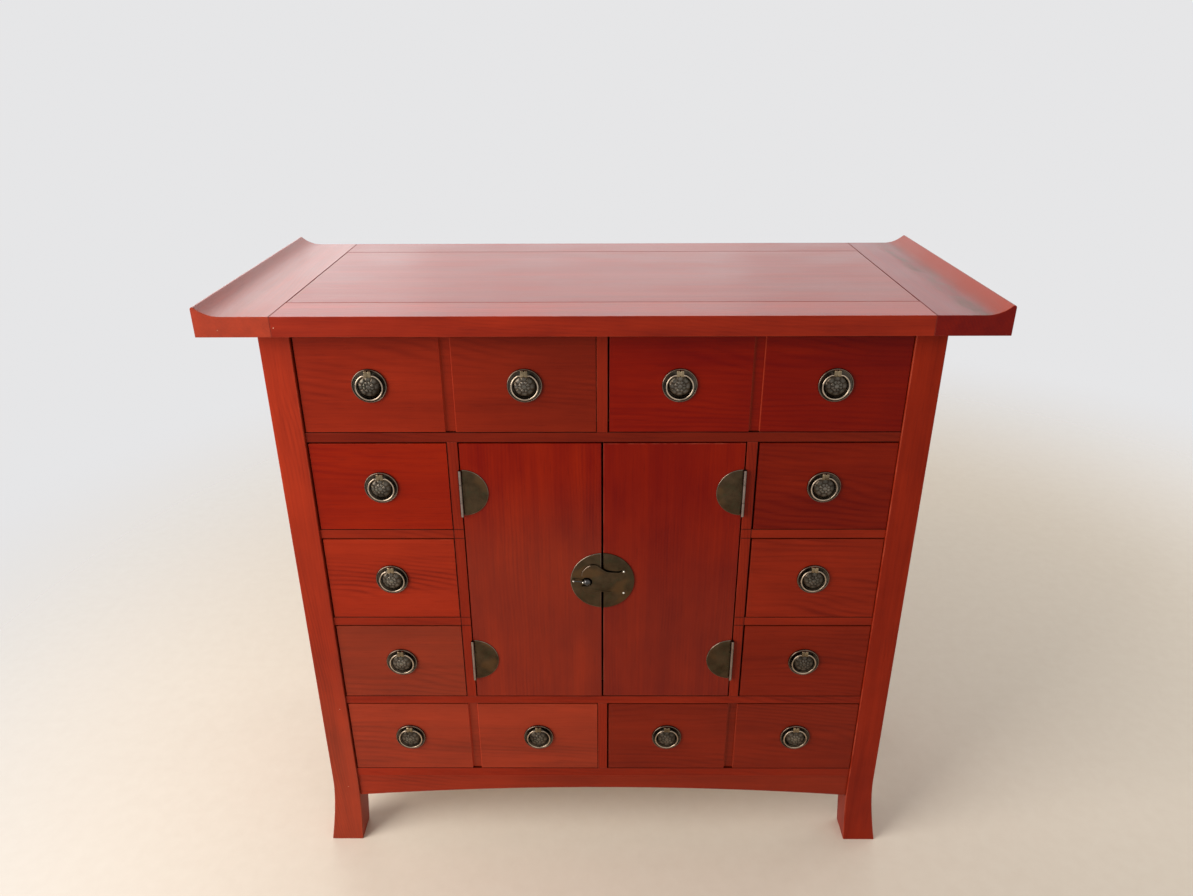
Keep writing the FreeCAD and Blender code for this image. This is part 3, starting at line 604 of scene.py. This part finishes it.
# Metal
def metal(name, dark, light, roughness, painted_shading=False, patina=None, warm=None):
    """Aged metal, mottled, with patina in spots and warm patches, and, if asked, darker where the mesh's
    shading attribute is low, which paints shade and highlight on it.
    """
    material, tree = new_material(name)
    place = tree.add("TexCoord").outputs["Object"]
    cloud = tree.noise(place, (60.0, 60.0, 60.0), 4.0, 0.6)
    speck = tree.noise(place, (700.0, 700.0, 700.0), 3.0, 0.6)
    tone = tree.scaled(cloud, 0.75, tree.times(speck, 0.25))
    shade = tree.mix(tree.span(tone, 0.34, 0.64), colour(*dark), colour(*light))
    if patina:
        spots = tree.span(tree.noise(place, (110.0, 110.0, 110.0), 3.0, 0.7), 0.52, 0.68)
        shade = tree.mix(tree.times(spots, 0.5), shade, colour(*patina))
    if warm:
        patches = tree.span(tree.noise(place, (26.0, 26.0, 34.0), 1.0), 0.52, 0.66, 0.0, 0.5, smooth=True)
        shade = tree.mix(patches, shade, colour(*warm))
    rough = tree.scaled(cloud, 0.22, roughness - 0.11)
    height = tree.scaled(cloud, 2.0, speck)
    # Painted shading: darker where the mesh's shading attribute is low.
    if painted_shading:
        high = tree.add("Attribute", attribute_name="painted_shading").outputs["Fac"]
        darker = tree.blend("MULTIPLY", 1.0, shade, colour(0.20, 0.155, 0.12))
        shade = tree.mix(tree.span(high, 0.0, 1.0), darker, shade)
    finish_material(tree, {"Base Color": shade, "Metallic": 1.0, "Roughness": rough}, height, 0.03)
    return material


bronze = metal("sheet_bronze", (0.042, 0.028, 0.015), (0.082, 0.054, 0.030), 0.36,
               patina=(0.05, 0.05, 0.026), warm=(0.13, 0.068, 0.028))
# The plates' metal reads the painted shading: shade in their hollows and channel.
plate_bronze = metal("plate_bronze", (0.062, 0.053, 0.043), (0.25, 0.222, 0.182), 0.28,
                     painted_shading=True, patina=(0.09, 0.10, 0.074))
# The ring wire's metal reads the painted shading: light on the front, dark on the sides.
ring_bronze = metal("ring_bronze_wire", (0.25, 0.195, 0.145), (0.58, 0.465, 0.345), 0.2, painted_shading=True)
# Lighter rubbed bronze for rims, which also brightens their highlight, and a painted highlight on the lock
# tongue's tip.
rubbed_lit_bronze = metal("rubbed_lit_bronze", (0.10, 0.072, 0.052), (0.24, 0.175, 0.13), 0.2)
plate_rim = metal("plate_rim", (0.072, 0.048, 0.034), (0.18, 0.125, 0.092), 0.24)
lug_brass = metal("lug_brass", (0.085, 0.062, 0.036), (0.33, 0.25, 0.15), 0.3)
barrel_brass = metal("barrel_brass", (0.030, 0.021, 0.016), (0.060, 0.042, 0.032), 0.4)
# Lighter metal for a strip along the barrels' front, a painted highlight; the rest of each barrel stays dark.
barrel_painted_highlight = metal("barrel_painted_highlight", (0.20, 0.15, 0.125), (0.32, 0.25, 0.21), 0.3)
# Near-black metal for sheets that paint the shadow in the lock's slit and in the notch round the knob.
painted_shadow = metal("painted_shadow", (0.003, 0.0025, 0.002), (0.007, 0.006, 0.005), 0.8)
knob_steel = metal("knob_steel", (0.035, 0.033, 0.032), (0.10, 0.095, 0.09), 0.22)
rivet_nickel = metal("rivet_nickel", (0.40, 0.37, 0.31), (0.68, 0.64, 0.56), 0.22)


# Mesh building, in millimetres
def circle(radius, count):
    """Points (across, up) round a circle."""
    turns = (2 * math.pi * k / count for k in range(count))
    return [(radius * math.cos(turn), radius * math.sin(turn)) for turn in turns]


class Build:
    """Collects vertices and faces of one piece, each face with a material number."""

    def __init__(self):
        self.points = []
        self.faces = []
        self.slots = []
        self.painted_shading = []

    def vertex(self, point, painted_shading=1.0):
        self.points.append(tuple(point))
        self.painted_shading.append(painted_shading)
        return len(self.points) - 1

    def face(self, corners, slot=0):
        self.faces.append(tuple(corners))
        self.slots.append(slot)

    def loft(self, rows, slot=0, caps=True, rim=(0, 0)):
        """Skin over rows of points. A row is a list of points, or of (point, painted shading). rim gives how
        many of the first strips have another slot, and that slot."""
        numbers = []
        for row in rows:
            pairs = (item if isinstance(item[0], tuple) else (item,) for item in row)
            numbers.append([self.vertex(*pair) for pair in pairs])
        count = len(numbers[0])
        for strip, (low, high) in enumerate(zip(numbers, numbers[1:])):
            for i in range(count):
                j = (i + 1) % count
                self.face((low[i], low[j], high[j], high[i]), rim[1] if strip < rim[0] else slot)
        if caps:
            self.face(reversed(numbers[0]), slot)
            self.face(numbers[-1], slot)

    def revolve(self, x, z, profile, count=96, slot=0, swell=None, rim=(0, 0)):
        """Turns (radius, out) pairs round the axis through (x, z) that points out of the front, from the rim
        inward. swell(radius, turn) gives more height and the painted shading there."""
        rows = []
        for radius, out in profile:
            row = []
            for i in range(count):
                turn = 2 * math.pi * i / count
                more, painted_shading = swell(radius, turn) if swell else (0.0, 1.0)
                point = (x + radius * math.sin(turn), FRONT_FACE - out - more, z + radius * math.cos(turn))
                row.append((point, painted_shading))
            rows.append(row)
        self.loft(rows, slot, rim=rim)

    def tube(self, out, stations, count, ring=False):
        """Round wire at a height out of the front, through stations of (x, z, radius). A ring is closed, and
        its shading value is high only on the wire's front: a painted highlight there, painted shade on its
        sides."""
        path = [Vector((x, FRONT_FACE - out, z)) for x, z, _ in stations]
        total = len(path)
        rows = []
        for i, point in enumerate(path):
            before = path[i - 1] if i or ring else point
            after = path[(i + 1) % total] if i + 1 < total or ring else point
            along = (after - before).normalized()
            side = along.cross(Vector((0, 1, 0))).normalized()
            lift = side.cross(along).normalized()
            row = []
            for across, up in circle(1.0, count):
                off = across * side + up * lift
                # Painted highlight along the ring's front, painted shade on its sides.
                painted_shading = max(0.0, -off.y) ** 1.5 if ring else 1.0
                row.append((tuple(point + stations[i][2] * off), painted_shading))
            rows.append(row)
        if ring:
            rows.append(rows[0])
        self.loft(rows, caps=not ring)

    def rods(self, x, z, sizes, slot):
        """Rods along y through (x, z), each given as (radius, start, end, number of sides)."""
        for radius, start, end, count in sizes:
            self.loft([[(x + across, y, z + up) for across, up in circle(radius, count)]
                       for y in (start, end)], slot)

    def prism(self, outline, out_low, out_high, ease_out=0.0, slot=0, rim_slot=0, steps=3, crown=None):
        """Plate from an outline of (x, z) pairs, with its front edge rounded by ease_out. rim_slot is for the
        wall and the rounding. crown is (x, z, rise) of the place where the face stands highest."""
        rows = [[(x, FRONT_FACE - out_low, z) for x, z in outline]]
        for step in range(steps + 1):
            turn = math.pi / 2 * step / steps
            inset = ease_out * (1 - math.cos(turn))
            out = out_high - ease_out * (1 - math.sin(turn))
            rows.append([(x, FRONT_FACE - out, z) for x, z in shrunk(outline, inset)])
        rim = (len(rows) - 1, rim_slot)
        if crown:
            x_high, z_high, rise = crown
            for share in (0.8, 0.6, 0.4, 0.2, 0.03):
                y = FRONT_FACE - (out_high + rise * (1 - share * share))
                rows.append([(x_high + share * (x - x_high), y, z_high + share * (z - z_high))
                             for x, z in shrunk(outline, ease_out)])
        self.loft(rows, slot, rim=rim)

    def make(self, name, materials, smooth_angle=35):
        mesh = bpy.data.meshes.new(name)
        mesh.from_pydata([(x * MM, y * MM, z * MM) for x, y, z in self.points], [], self.faces)
        attribute = mesh.attributes.new("painted_shading", "FLOAT", "POINT")
        attribute.data.foreach_set("value", self.painted_shading)
        fill_slots(mesh, materials)
        mesh.polygons.foreach_set("material_index", self.slots)
        mesh.polygons.foreach_set("use_smooth", [True] * len(self.faces))
        mesh.update()
        piece = bpy.data.objects.new(name, mesh)
        bpy.context.scene.collection.objects.link(piece)
        mesh.set_sharp_from_angle(angle=math.radians(smooth_angle))
        return piece


def shrunk(outline, inset):
    """Outline of (x, z) pairs moved inward by inset; the outline runs clockwise seen from the front."""
    if not inset:
        return outline
    count = len(outline)
    moved = []
    for i, (x, z) in enumerate(outline):
        x0, z0 = outline[i - 1]
        x1, z1 = outline[(i + 1) % count]
        first = Vector((x - x0, z - z0)).normalized()
        second = Vector((x1 - x, z1 - z)).normalized()
        normal_a = Vector((first.y, -first.x))
        normal_b = Vector((second.y, -second.x))
        middle = (normal_a + normal_b).normalized()
        reach = inset / max(0.35, middle.dot(normal_a))
        moved.append((x + middle.x * reach, z + middle.y * reach))
    return moved


# Ring pulls. The plate has a rim, a channel, a bead, and a dome with a flower of two rings of petals.
PLATE_RADIUS = 23.0
RIM_INNER = 20.6
RIM_STRIPS = 7
DOME_RADIUS = 15.2
OUTER_PETALS = (7.6, 13.6)
INNER_PETALS = (3.2, 7.6)
RING_RADIUS = 17.2
RING_WIRE = 1.2
RING_DROP = 1.5
PIN_OUT = 3.8
PIN_HEIGHT = 14.06


def plate_profile():
    """(radius, out) from the rim to the middle."""
    pairs = [(PLATE_RADIUS, 0.0), (PLATE_RADIUS, 1.2)]
    for step in range(1, 8):
        turn = math.pi * step / 8
        pairs.append((PLATE_RADIUS - 1.1 + 1.1 * math.cos(turn), 1.35 + 1.65 * math.sin(turn)))
    pairs += [(20.7, 1.2), (20.0, 0.95), (18.0, 0.9), (16.4, 0.95), (15.6, 1.2), (15.15, 1.6)]
    radius = 14.9
    while radius > 0.4:
        pairs.append((radius, 1.9 + 4.3 * math.sqrt(1 - (radius / 15.0) ** 2)))
        radius -= 0.38
    return pairs


def petals(radius, turn, low, high, shift):
    """Height, from 0 to 1, of a ring of eight petals between two radii."""
    across = abs(math.cos(4 * turn + shift)) ** 0.6
    along = 2 * (radius - low) / (high - low) - 1
    return across * math.sqrt(max(0.0, 1 - along * along))


def plate_swell(radius, turn):
    """Height of what stands on the plate, the bead round the dome, the petals and the core, and the painted
    shading there: painted shade in the channel, on the bead and towards the outer petals' edge.
    """
    inner_low, inner_high = INNER_PETALS
    outer_low, outer_high = OUTER_PETALS
    if radius >= RIM_INNER:
        return 0.0, 1.0
    # The channel and the bead round the dome get painted shade.
    if radius > DOME_RADIUS:
        return 0.0, 0.22
    if radius > outer_high:
        bead = 0.5 + 0.5 * math.cos(32 * turn)
        return 0.2 * bead, 0.04 + 0.2 * bead
    if radius > outer_low:
        high = petals(radius, turn, outer_low, outer_high, 0.0)
        vein = 0.25 * math.exp(-((math.cos(8 * turn) - 1) ** 2) / 0.02)
        # The outer petals get painted shade towards their edge.
        edge_shade = 0.85 * (radius - outer_low) / (outer_high - outer_low)
        return (0.8 - vein) * high, (0.03 + 0.97 * high ** 1.7) * (1 - edge_shade)
    if radius > inner_low:
        high = petals(radius, turn, inner_low, inner_high, math.pi / 2)
        return 0.15 + 0.75 * high, 0.03 + 0.97 * high ** 1.7
    return 0.3 + 0.5 * math.sqrt(1 - (radius / inner_low) ** 2), 1.0 if radius < 2.6 else 0.3


def lug_section():
    """(out, height above the pin) round the strap over the ring's pin, from its top down to its tail."""
    pairs = [(0.6, 7.7), (3.0, 7.6)]
    for middle_out, middle_up, first in ((4.6, 5.9, 90), (4.5, -0.4, 0)):
        for step in range(6):
            turn = math.radians(first - 18 * step)
            pairs.append((middle_out + 1.3 * math.cos(turn), middle_up + 1.3 * math.sin(turn)))
    pairs += [(3.4, -1.8), (2.6, -1.9), (0.6, -1.9)]
    return pairs


# Half of the steps across the lug: offset from its middle, and size of its section there
LUG_ROWS = ((4.5, 0.86), (4.3, 0.95), (3.9, 1.0), (1.0, 1.0), (0.75, 0.94), (0.55, 0.8), (0.3, 0.72))


def build_lug(build, x, z):
    """Strap with two folds, side by side."""
    pin_z = z + PIN_HEIGHT
    section = lug_section()
    middle_out = sum(pair[0] for pair in section) / len(section)
    middle_up = sum(pair[1] for pair in section) / len(section)
    rows = []
    for offset, size in [(-a, b) for a, b in LUG_ROWS] + list(LUG_ROWS[::-1]):
        rows.append([(x + offset, FRONT_FACE - (middle_out + (out - middle_out) * size),
                      pin_z + middle_up + (up - middle_up) * size) for out, up in section])
    build.loft(rows, slot=1)


def ring_stations(x, z):
    """Stations of the ring's wire, closed by the straight pin."""
    start = math.acos((PIN_HEIGHT + RING_DROP) / RING_RADIUS)
    pairs = []
    for step in range(73):
        turn = start + (2 * math.pi - 2 * start) * step / 72
        pairs.append((x + RING_RADIUS * math.sin(turn), z - RING_DROP + RING_RADIUS * math.cos(turn)))
    half = RING_RADIUS * math.sin(start)
    pairs += [(x + share * half, z + PIN_HEIGHT) for share in (-0.75, -0.4, 0.0, 0.4, 0.75)]
    return [(*pair, RING_WIRE) for pair in pairs]


def build_stud(build, x, z):
    """Stud with a washer and a hexagonal nut behind the drawer front."""
    back = DRAWER_FRONT_BACK
    build.rods(x, z, ((2.0, FRONT_FACE, back + 4.0, 16), (6.0, back, back + 0.8, 28),
                      (4.9, back + 0.8, back + 3.0, 6)), slot=2)


def make_pulls(row_name, side_name, side):
    stem = f"{row_name}_{side_name}"
    height = sum(ROWS[row_name]) / 2
    places = {"ring": OUTER_MIDDLE}
    if row_name in WIDE_ROWS:
        places = {"outer_ring": OUTER_MIDDLE, "inner_ring": INNER_MIDDLE}
    build = Build()
    for ring_name, off_middle in places.items():
        x = side * off_middle
        build.revolve(x, height, plate_profile(), swell=plate_swell, rim=(RIM_STRIPS, 3))
        build_lug(build, x, height)
        build_stud(build, x, height)
        wire = Build()
        wire.tube(PIN_OUT, ring_stations(x, height), 14, ring=True)
        ring = wire.make(f"{stem}_{ring_name}_wire", [ring_bronze], smooth_angle=60)
        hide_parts(f"{stem}_{ring_name}")
        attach(ring, f"{stem}_{ring_name}_body")
    plates = build.make(stem + "_pulls", [plate_bronze, lug_brass, barrel_brass, plate_rim])
    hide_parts(stem + "_pull_plates")
    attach(plates, stem + "_drawer_body")


for side_name, side in (("left", -1), ("right", 1)):
    for row_name in ROWS:
        make_pulls(row_name, side_name, side)


# Hinges. The barrel of each has the door's knuckle in its middle, and the frame's above and below it.
LEAF_RADIUS = 34.8
HINGE_X = 191.6
HINGE_OUT = 4.0
HINGE_HALF = 35.0
BARREL_RADIUS = 2.3
PIN_RADIUS = 1.5
KNUCKLE_HALF = 14.0
KNUCKLE_PLAY = 0.15
LEAF_EDGE = 189.5
WEB_EDGE = 187.3
FRAME_LEAF_THICKNESS = 0.9
FRAME_LEAF_OUT = 0.75
HINGE_HEIGHTS = (648.0, 368.0)


def half_moon(side, edge, z, radius, steps=48):
    """Outline of a half disc whose straight side faces the hinge line, clockwise seen from the front."""
    points = []
    for step in range(steps + 1):
        turn = math.pi * step / steps
        points.append((edge - side * radius * math.sin(turn), z - side * radius * math.cos(turn)))
    return points


def build_barrel(build, x, low, high, radius, slot, highlight_slot=None):
    """Upright knuckle. highlight_slot is the slot of the strip along its front, which paints a highlight
    there.
    """
    first = len(build.faces)
    rows = []
    for z, share in ((low, 0.92), (low + 0.15, 1.0), (high - 0.15, 1.0), (high, 0.92)):
        rows.append([(x + across, FRONT_FACE - HINGE_OUT + deep, z)
                     for across, deep in circle(share * radius, 28)])
    build.loft(rows, slot)
    for number in range(first, len(build.faces)):
        corners = build.faces[number]
        out = FRONT_FACE - HINGE_OUT - sum(build.points[i][1] for i in corners) / len(corners)
        if highlight_slot is not None and len(corners) == 4 and out > 0.78 * radius:
            build.slots[number] = highlight_slot


def build_block(build, x, y, z):
    """Block between two values of x, y and z."""
    corners = ((x[0], y[0]), (x[1], y[0]), (x[1], y[1]), (x[0], y[1]))
    build.loft([[(a, b, level) for a, b in corners] for level in z])


def make_hinges():
    frame_build = Build()
    for side_name, side in (("left", -1), ("right", 1)):
        door_build = Build()
        axis = side * HINGE_X
        edge = side * LEAF_EDGE
        web = sorted((side * WEB_EDGE, axis))
        frame_leaf = sorted((side * (STILE_INNER - FRAME_LEAF_THICKNESS), side * STILE_INNER))
        for z in HINGE_HEIGHTS:
            low, high = z - HINGE_HALF, z + HINGE_HALF
            middle_low, middle_high = z - KNUCKLE_HALF + KNUCKLE_PLAY, z + KNUCKLE_HALF - KNUCKLE_PLAY
            outline = half_moon(side, edge, z, LEAF_RADIUS)
            door_build.prism(outline, 0.0, 1.3, 0.7, rim_slot=2, steps=4, crown=(edge, z, 0.3))
            build_barrel(door_build, axis, middle_low, middle_high, BARREL_RADIUS, 1, 3)
            build_block(door_build, web, (FRONT_FACE - 2.4, FRONT_FACE - 0.4),
                        (middle_low + 0.15, middle_high - 0.15))
            for span in ((low, z - KNUCKLE_HALF - KNUCKLE_PLAY), (z + KNUCKLE_HALF + KNUCKLE_PLAY, high)):
                build_barrel(frame_build, axis, *span, BARREL_RADIUS, 1, 2)
                build_block(frame_build, frame_leaf, (FRONT_FACE - HINGE_OUT, FRONT_FACE - FRAME_LEAF_OUT),
                            span)
            build_barrel(frame_build, axis, low, high, PIN_RADIUS, 1)
            build_block(frame_build, frame_leaf, (FRONT_FACE - FRAME_LEAF_OUT, DOOR_BACK), (low, high))
        leaf = door_build.make(side_name + "_hinge_leaves",
                               [bronze, barrel_brass, rubbed_lit_bronze, barrel_painted_highlight])
        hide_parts(side_name + "_door_hinges")
        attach(leaf, side_name + "_door_body")
    knuckles = frame_build.make("frame_hinge_barrels", [bronze, barrel_brass, barrel_painted_highlight])
    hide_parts("frame_hinges")
    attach(knuckles, "carcass")


make_hinges()


# Lock
LOCK_RADIUS = 45.5
LOCK_HEIGHT = 507.0
DOOR_GAP_HALF = 1.5
KNOB_X = -0.477 * LOCK_RADIUS
KNOB_Z = LOCK_HEIGHT - 0.022 * LOCK_RADIUS
NOTCH_RADIUS = 7.1
LEVER_RISE = 2.6
TONGUE_OUT = 1.8
TONGUE_THICKNESS = 2.0
# How far right of the middle the tongue starts to sink into the plate, and over what length
SETTLE_START = 4.0
SETTLE_LENGTH = 18.0
# The tongue's outline, in shares of the lock's radius
TONGUE_SHARES = (
    (-0.655, 0.20), (-0.625, 0.36), (-0.495, 0.511), (-0.349, 0.59), (-0.165, 0.578), (0, 0.446),
    (0.165, 0.340), (0.40, 0.302), (0.57, 0.318), (0.67, 0.45), (0.77, 0.38), (0.80, 0),
    (0.78, -0.43), (0.67, -0.53), (0.52, -0.46), (0, -0.385), (-0.30, -0.42), (-0.50, -0.39),
    (-0.62, -0.32), (-0.655, -0.20),
)


def smooth_line(points, steps=8):
    """Smooth curve through points."""
    ends = [tuple(2 * a - b for a, b in zip(points[0], points[1])),
            tuple(2 * a - b for a, b in zip(points[-1], points[-2]))]
    padded = [ends[0], *points, ends[1]]
    line = []
    for i in range(1, len(padded) - 2):
        p0, p1, p2, p3 = (Vector(p) for p in padded[i - 1:i + 3])
        for step in range(steps):
            t = step / steps
            line.append(tuple(0.5 * (2 * p1 + (p2 - p0) * t + (2 * p0 - 5 * p1 + 4 * p2 - p3) * t * t
                                     + (3 * p1 - p0 - 3 * p2 + p3) * t ** 3)))
    line.append(tuple(points[-1]))
    return line


def tongue_line():
    return smooth_line([(a * LOCK_RADIUS, LOCK_HEIGHT + b * LOCK_RADIUS) for a, b in TONGUE_SHARES])


def tongue_outline():
    """The comma shape, clockwise seen from the front, with the notch for the knob."""
    line = tongue_line()
    x_edge = line[0][0]
    line.append((x_edge, KNOB_Z - NOTCH_RADIUS))
    for step in range(17):
        turn = math.pi * step / 16
        line.append((KNOB_X + NOTCH_RADIUS * math.sin(turn), KNOB_Z - NOTCH_RADIUS * math.cos(turn)))
    line.append((x_edge, KNOB_Z + NOTCH_RADIUS))
    return line


def half_disc(side, steps=120):
    """Outline of the half plate on one door, clockwise seen from the front."""
    start = math.acos(DOOR_GAP_HALF / LOCK_RADIUS)
    points = []
    for step in range(steps + 1):
        turn = start - 2 * start * step / steps
        points.append((side * LOCK_RADIUS * math.cos(turn), LOCK_HEIGHT + LOCK_RADIUS * math.sin(turn)))
    return points if side > 0 else points[::-1]


def slit_edges(low, high):
    """Two lines along the tongue's upper edge, from the gap between the doors to the rivet."""
    edge = [(x, z) for x, z in tongue_line()
            if DOOR_GAP_HALF + 0.5 < x < 0.6 * LOCK_RADIUS and z > LOCK_HEIGHT]
    edge = [(DOOR_GAP_HALF, edge[0][1] + 0.4)] + edge
    return [(x, z + low) for x, z in edge], [(x, z + high) for x, z in edge]


def slit_plate():
    """Outline of the right half plate, clockwise seen from the front, with the slit above the tongue."""
    lower, upper = slit_edges(-0.4, 2.2)
    return half_disc(1) + lower + upper[::-1]


def dome(build, x, z, radius, out_low, rise, slot):
    profile = [(radius, out_low - 0.2), (radius, out_low + 0.15 * rise)]
    for step in range(1, 8):
        turn = math.pi / 2 * step / 8
        profile.append((radius * math.cos(turn), out_low + 0.15 * rise + 0.85 * rise * math.sin(turn)))
    profile.append((radius * 0.05, out_low + rise))
    build.revolve(x, z, profile, 32, slot)


def settle_tongue(build, first):
    """Sinks the tongue's end into the plate under the rivets, and gives its upper left tip the lighter rubbed
    metal as a painted highlight. first is the number of the tongue's first point."""
    lowest = FRONT_FACE - TONGUE_OUT - 0.05
    for i in range(first, len(build.points)):
        x, y, z = build.points[i]
        share = min(1.0, max(0.0, (x - SETTLE_START) / SETTLE_LENGTH))
        share = share * share * (3 - 2 * share)
        build.points[i] = (x, y + share * max(0.0, lowest - y), z)
    # The tongue's upper left tip gets the lighter metal, as a painted highlight.
    for number, corners in enumerate(build.faces):
        if min(corners) < first or len(corners) > 4:
            continue
        x, z = (sum(build.points[i][axis] for i in corners) / len(corners) for axis in (0, 2))
        if x < -0.37 * LOCK_RADIUS and z > LOCK_HEIGHT + 0.2 * LOCK_RADIUS:
            build.slots[number] = 2


def make_left_plate():
    build = Build()
    build.prism(half_disc(-1), 0.0, 1.5, 0.9, rim_slot=1, steps=5)
    # A black washer in the notch round the knob, as painted shadow.
    shadow_radius = NOTCH_RADIUS - 0.1
    build.revolve(KNOB_X, KNOB_Z, [(shadow_radius, 1.3), (shadow_radius, 1.58), (2.6, 1.58)], 48, 2)
    plate = build.make("lock_plate_left", [bronze, rubbed_lit_bronze, painted_shadow])
    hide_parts("left_lock_plate")
    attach(plate, "left_door_body")


def make_right_plate():
    """Half plate with the slit over the tongue and a black sheet under the slit as painted shadow, the
    tongue, and its two rivets.
    """
    build = Build()
    build.prism(slit_plate(), 0.0, TONGUE_OUT, 0.6)
    lower, upper = slit_edges(-0.8, 2.6)
    # A black sheet under the slit, as painted shadow.
    build.prism(lower[::-1] + upper, 0.0, 0.08, slot=3)
    first = len(build.points)
    build.prism(tongue_outline(), TONGUE_OUT + 0.02, TONGUE_OUT + TONGUE_THICKNESS, 0.9, steps=5)
    settle_tongue(build, first)
    for share in (0.352, -0.435):
        dome(build, 0.67 * LOCK_RADIUS, LOCK_HEIGHT + share * LOCK_RADIUS, 1.9, TONGUE_OUT, 2.6, 1)
    plate = build.make("lock_plate_right", [bronze, rivet_nickel, rubbed_lit_bronze, painted_shadow])
    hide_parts("right_lock_plate")
    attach(plate, "right_door_body")


def make_turn_button():
    """Round knob on a stem, a lever with a bead at each end, and a washer and nut behind the door."""
    build = Build()
    lever_out = TONGUE_OUT + TONGUE_THICKNESS + 0.3
    profile = [(2.5, -22.0), (2.5, 1.8)]
    for step in range(13):
        turn = math.radians(-25 + 113 * step / 12)
        profile.append((5.7 * math.cos(turn), 2.8 + 5.7 * math.sin(turn)))
    build.revolve(KNOB_X, KNOB_Z, profile, 48)
    end_x = -0.9 * LOCK_RADIUS
    end_z = KNOB_Z + LEVER_RISE
    lever = [(KNOB_X - 3.5, KNOB_Z, 1.2), (KNOB_X - 7.5, KNOB_Z + 0.5 * LEVER_RISE, 1.0),
             (KNOB_X - 12, KNOB_Z + 0.8 * LEVER_RISE, 0.9), (end_x + 1.0, end_z, 0.85)]
    build.tube(lever_out + 1.0, lever, 16)
    dome(build, end_x, end_z, 1.8, lever_out, 2.8, 2)
    dome(build, KNOB_X - 5.9, KNOB_Z + 0.4, 1.7, lever_out, 2.6, 2)
    build.rods(KNOB_X, KNOB_Z, ((6.0, DOOR_BACK + 0.3, DOOR_BACK + 1.1, 32),
                                (5.2, DOOR_BACK + 1.1, DOOR_BACK + 3.3, 6)), slot=1)
    piece = build.make("lock_turn_button", [knob_steel, barrel_brass, rivet_nickel])
    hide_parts("turn_button")
    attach(piece, "turn_button_body")


make_left_plate()
make_right_plate()
make_turn_button()

for name, node in nodes.items():
    if node.hide_render:
        continue


# Floor, lights and background. The floor's reach is in millimetres, the rest in metres.
FLOOR_REACH = 9000
FADE_CENTRE = (0.4, 0.3, 0.0)
FADE_START = 0.9
FADE_END = 2.3


def add_floor():
    """Wide plain floor that fades into the background, and sooner on the side of the brightest lamp."""
    build = Build()
    build.face([build.vertex((x * FLOOR_REACH, y * FLOOR_REACH, 0))
                for x, y in ((-1, -1), (1, -1), (1, 1), (-1, 1))])
    material, tree = new_material("pale_floor")
    place = tree.add("TexCoord").outputs["Object"]
    away = tree.distance(place, FADE_CENTRE)
    grit = tree.noise(place, (40.0, 40.0, 40.0), 4.0, 0.6)
    shade = tree.mix(grit, colour(0.76, 0.66, 0.54), colour(0.82, 0.73, 0.61))
    surface = tree.add("BsdfPrincipled", {"Base Color": shade, "Roughness": 0.55, "Specular IOR Level": 0.2})
    clear = tree.add("BsdfTransparent")
    faded = tree.span(away, FADE_START, FADE_END, smooth=True)
    mixed = tree.add("MixShader", {0: faded, 1: surface.outputs[0], 2: clear.outputs[0]})
    tree.add("OutputMaterial", {0: mixed.outputs[0]})
    floor = build.make("floor", [material])


def add_lamp(name, place, target, size, power, tint=(1, 1, 1)):
    """Area lamp at a place in metres, turned to a target."""
    data = bpy.data.lights.new(name, "AREA")
    data.shape = "RECTANGLE"
    data.size, data.size_y = size
    data.energy = power
    data.color = tint
    lamp = bpy.data.objects.new(name, data)
    bpy.context.scene.collection.objects.link(lamp)
    lamp.location = place
    lamp.rotation_mode = "QUATERNION"
    lamp.rotation_quaternion = (Vector(target) - Vector(place)).to_track_quat("-Z", "Y")
    lamp.visible_camera = False


def add_world():
    """Pale background, which metal and lacquer mirror too, and a dimmer light from all sides."""
    world = bpy.data.worlds.new("studio")
    world.use_nodes = True
    world.node_tree.nodes.clear()
    tree = Tree(world.node_tree)
    bpy.context.scene.world = world
    seen = tree.add("Background", {0: colour(0.79, 0.79, 0.80), 1: 1.0})
    lit = tree.add("Background", {0: colour(1.0, 0.99, 0.97), 1: 0.33})
    path = tree.add("LightPath").outputs
    shown = tree.math("MAXIMUM", path["Is Camera Ray"], path["Is Glossy Ray"])
    shown = tree.math("MAXIMUM", shown, path["Is Transmission Ray"])
    final = tree.add("MixShader", {0: shown, 1: lit.outputs[0], 2: seen.outputs[0]})
    tree.add("OutputWorld", {0: final.outputs[0]})


add_floor()
add_world()
add_lamp("window", (-1.8, -1.2, 1.4), (-0.1, -0.1, 0.55), (1.5, 1.9), 60, (1.0, 0.97, 0.94))
add_lamp("fill", (1.2, -2.8, 2.4), (0.0, 0.0, 0.5), (2.0, 2.0), 9)
add_lamp("side", (2.7, 0.9, 1.1), (0.3, 0.1, 0.5), (1.6, 1.4), 18)
add_lamp("rear_left", (-2.05, 3.0, 1.8), (-2.05, 0.0, 0.9), (2.3, 1.6), 28)
add_lamp("rear_middle", (-0.1, 3.0, 1.8), (-0.1, 0.0, 0.9), (1.6, 1.6), 13)
add_lamp("rear_right", (1.55, 3.0, 1.8), (1.55, 0.0, 0.9), (1.7, 1.6), 10)

bpy.context.scene.view_settings.view_transform = "Standard"
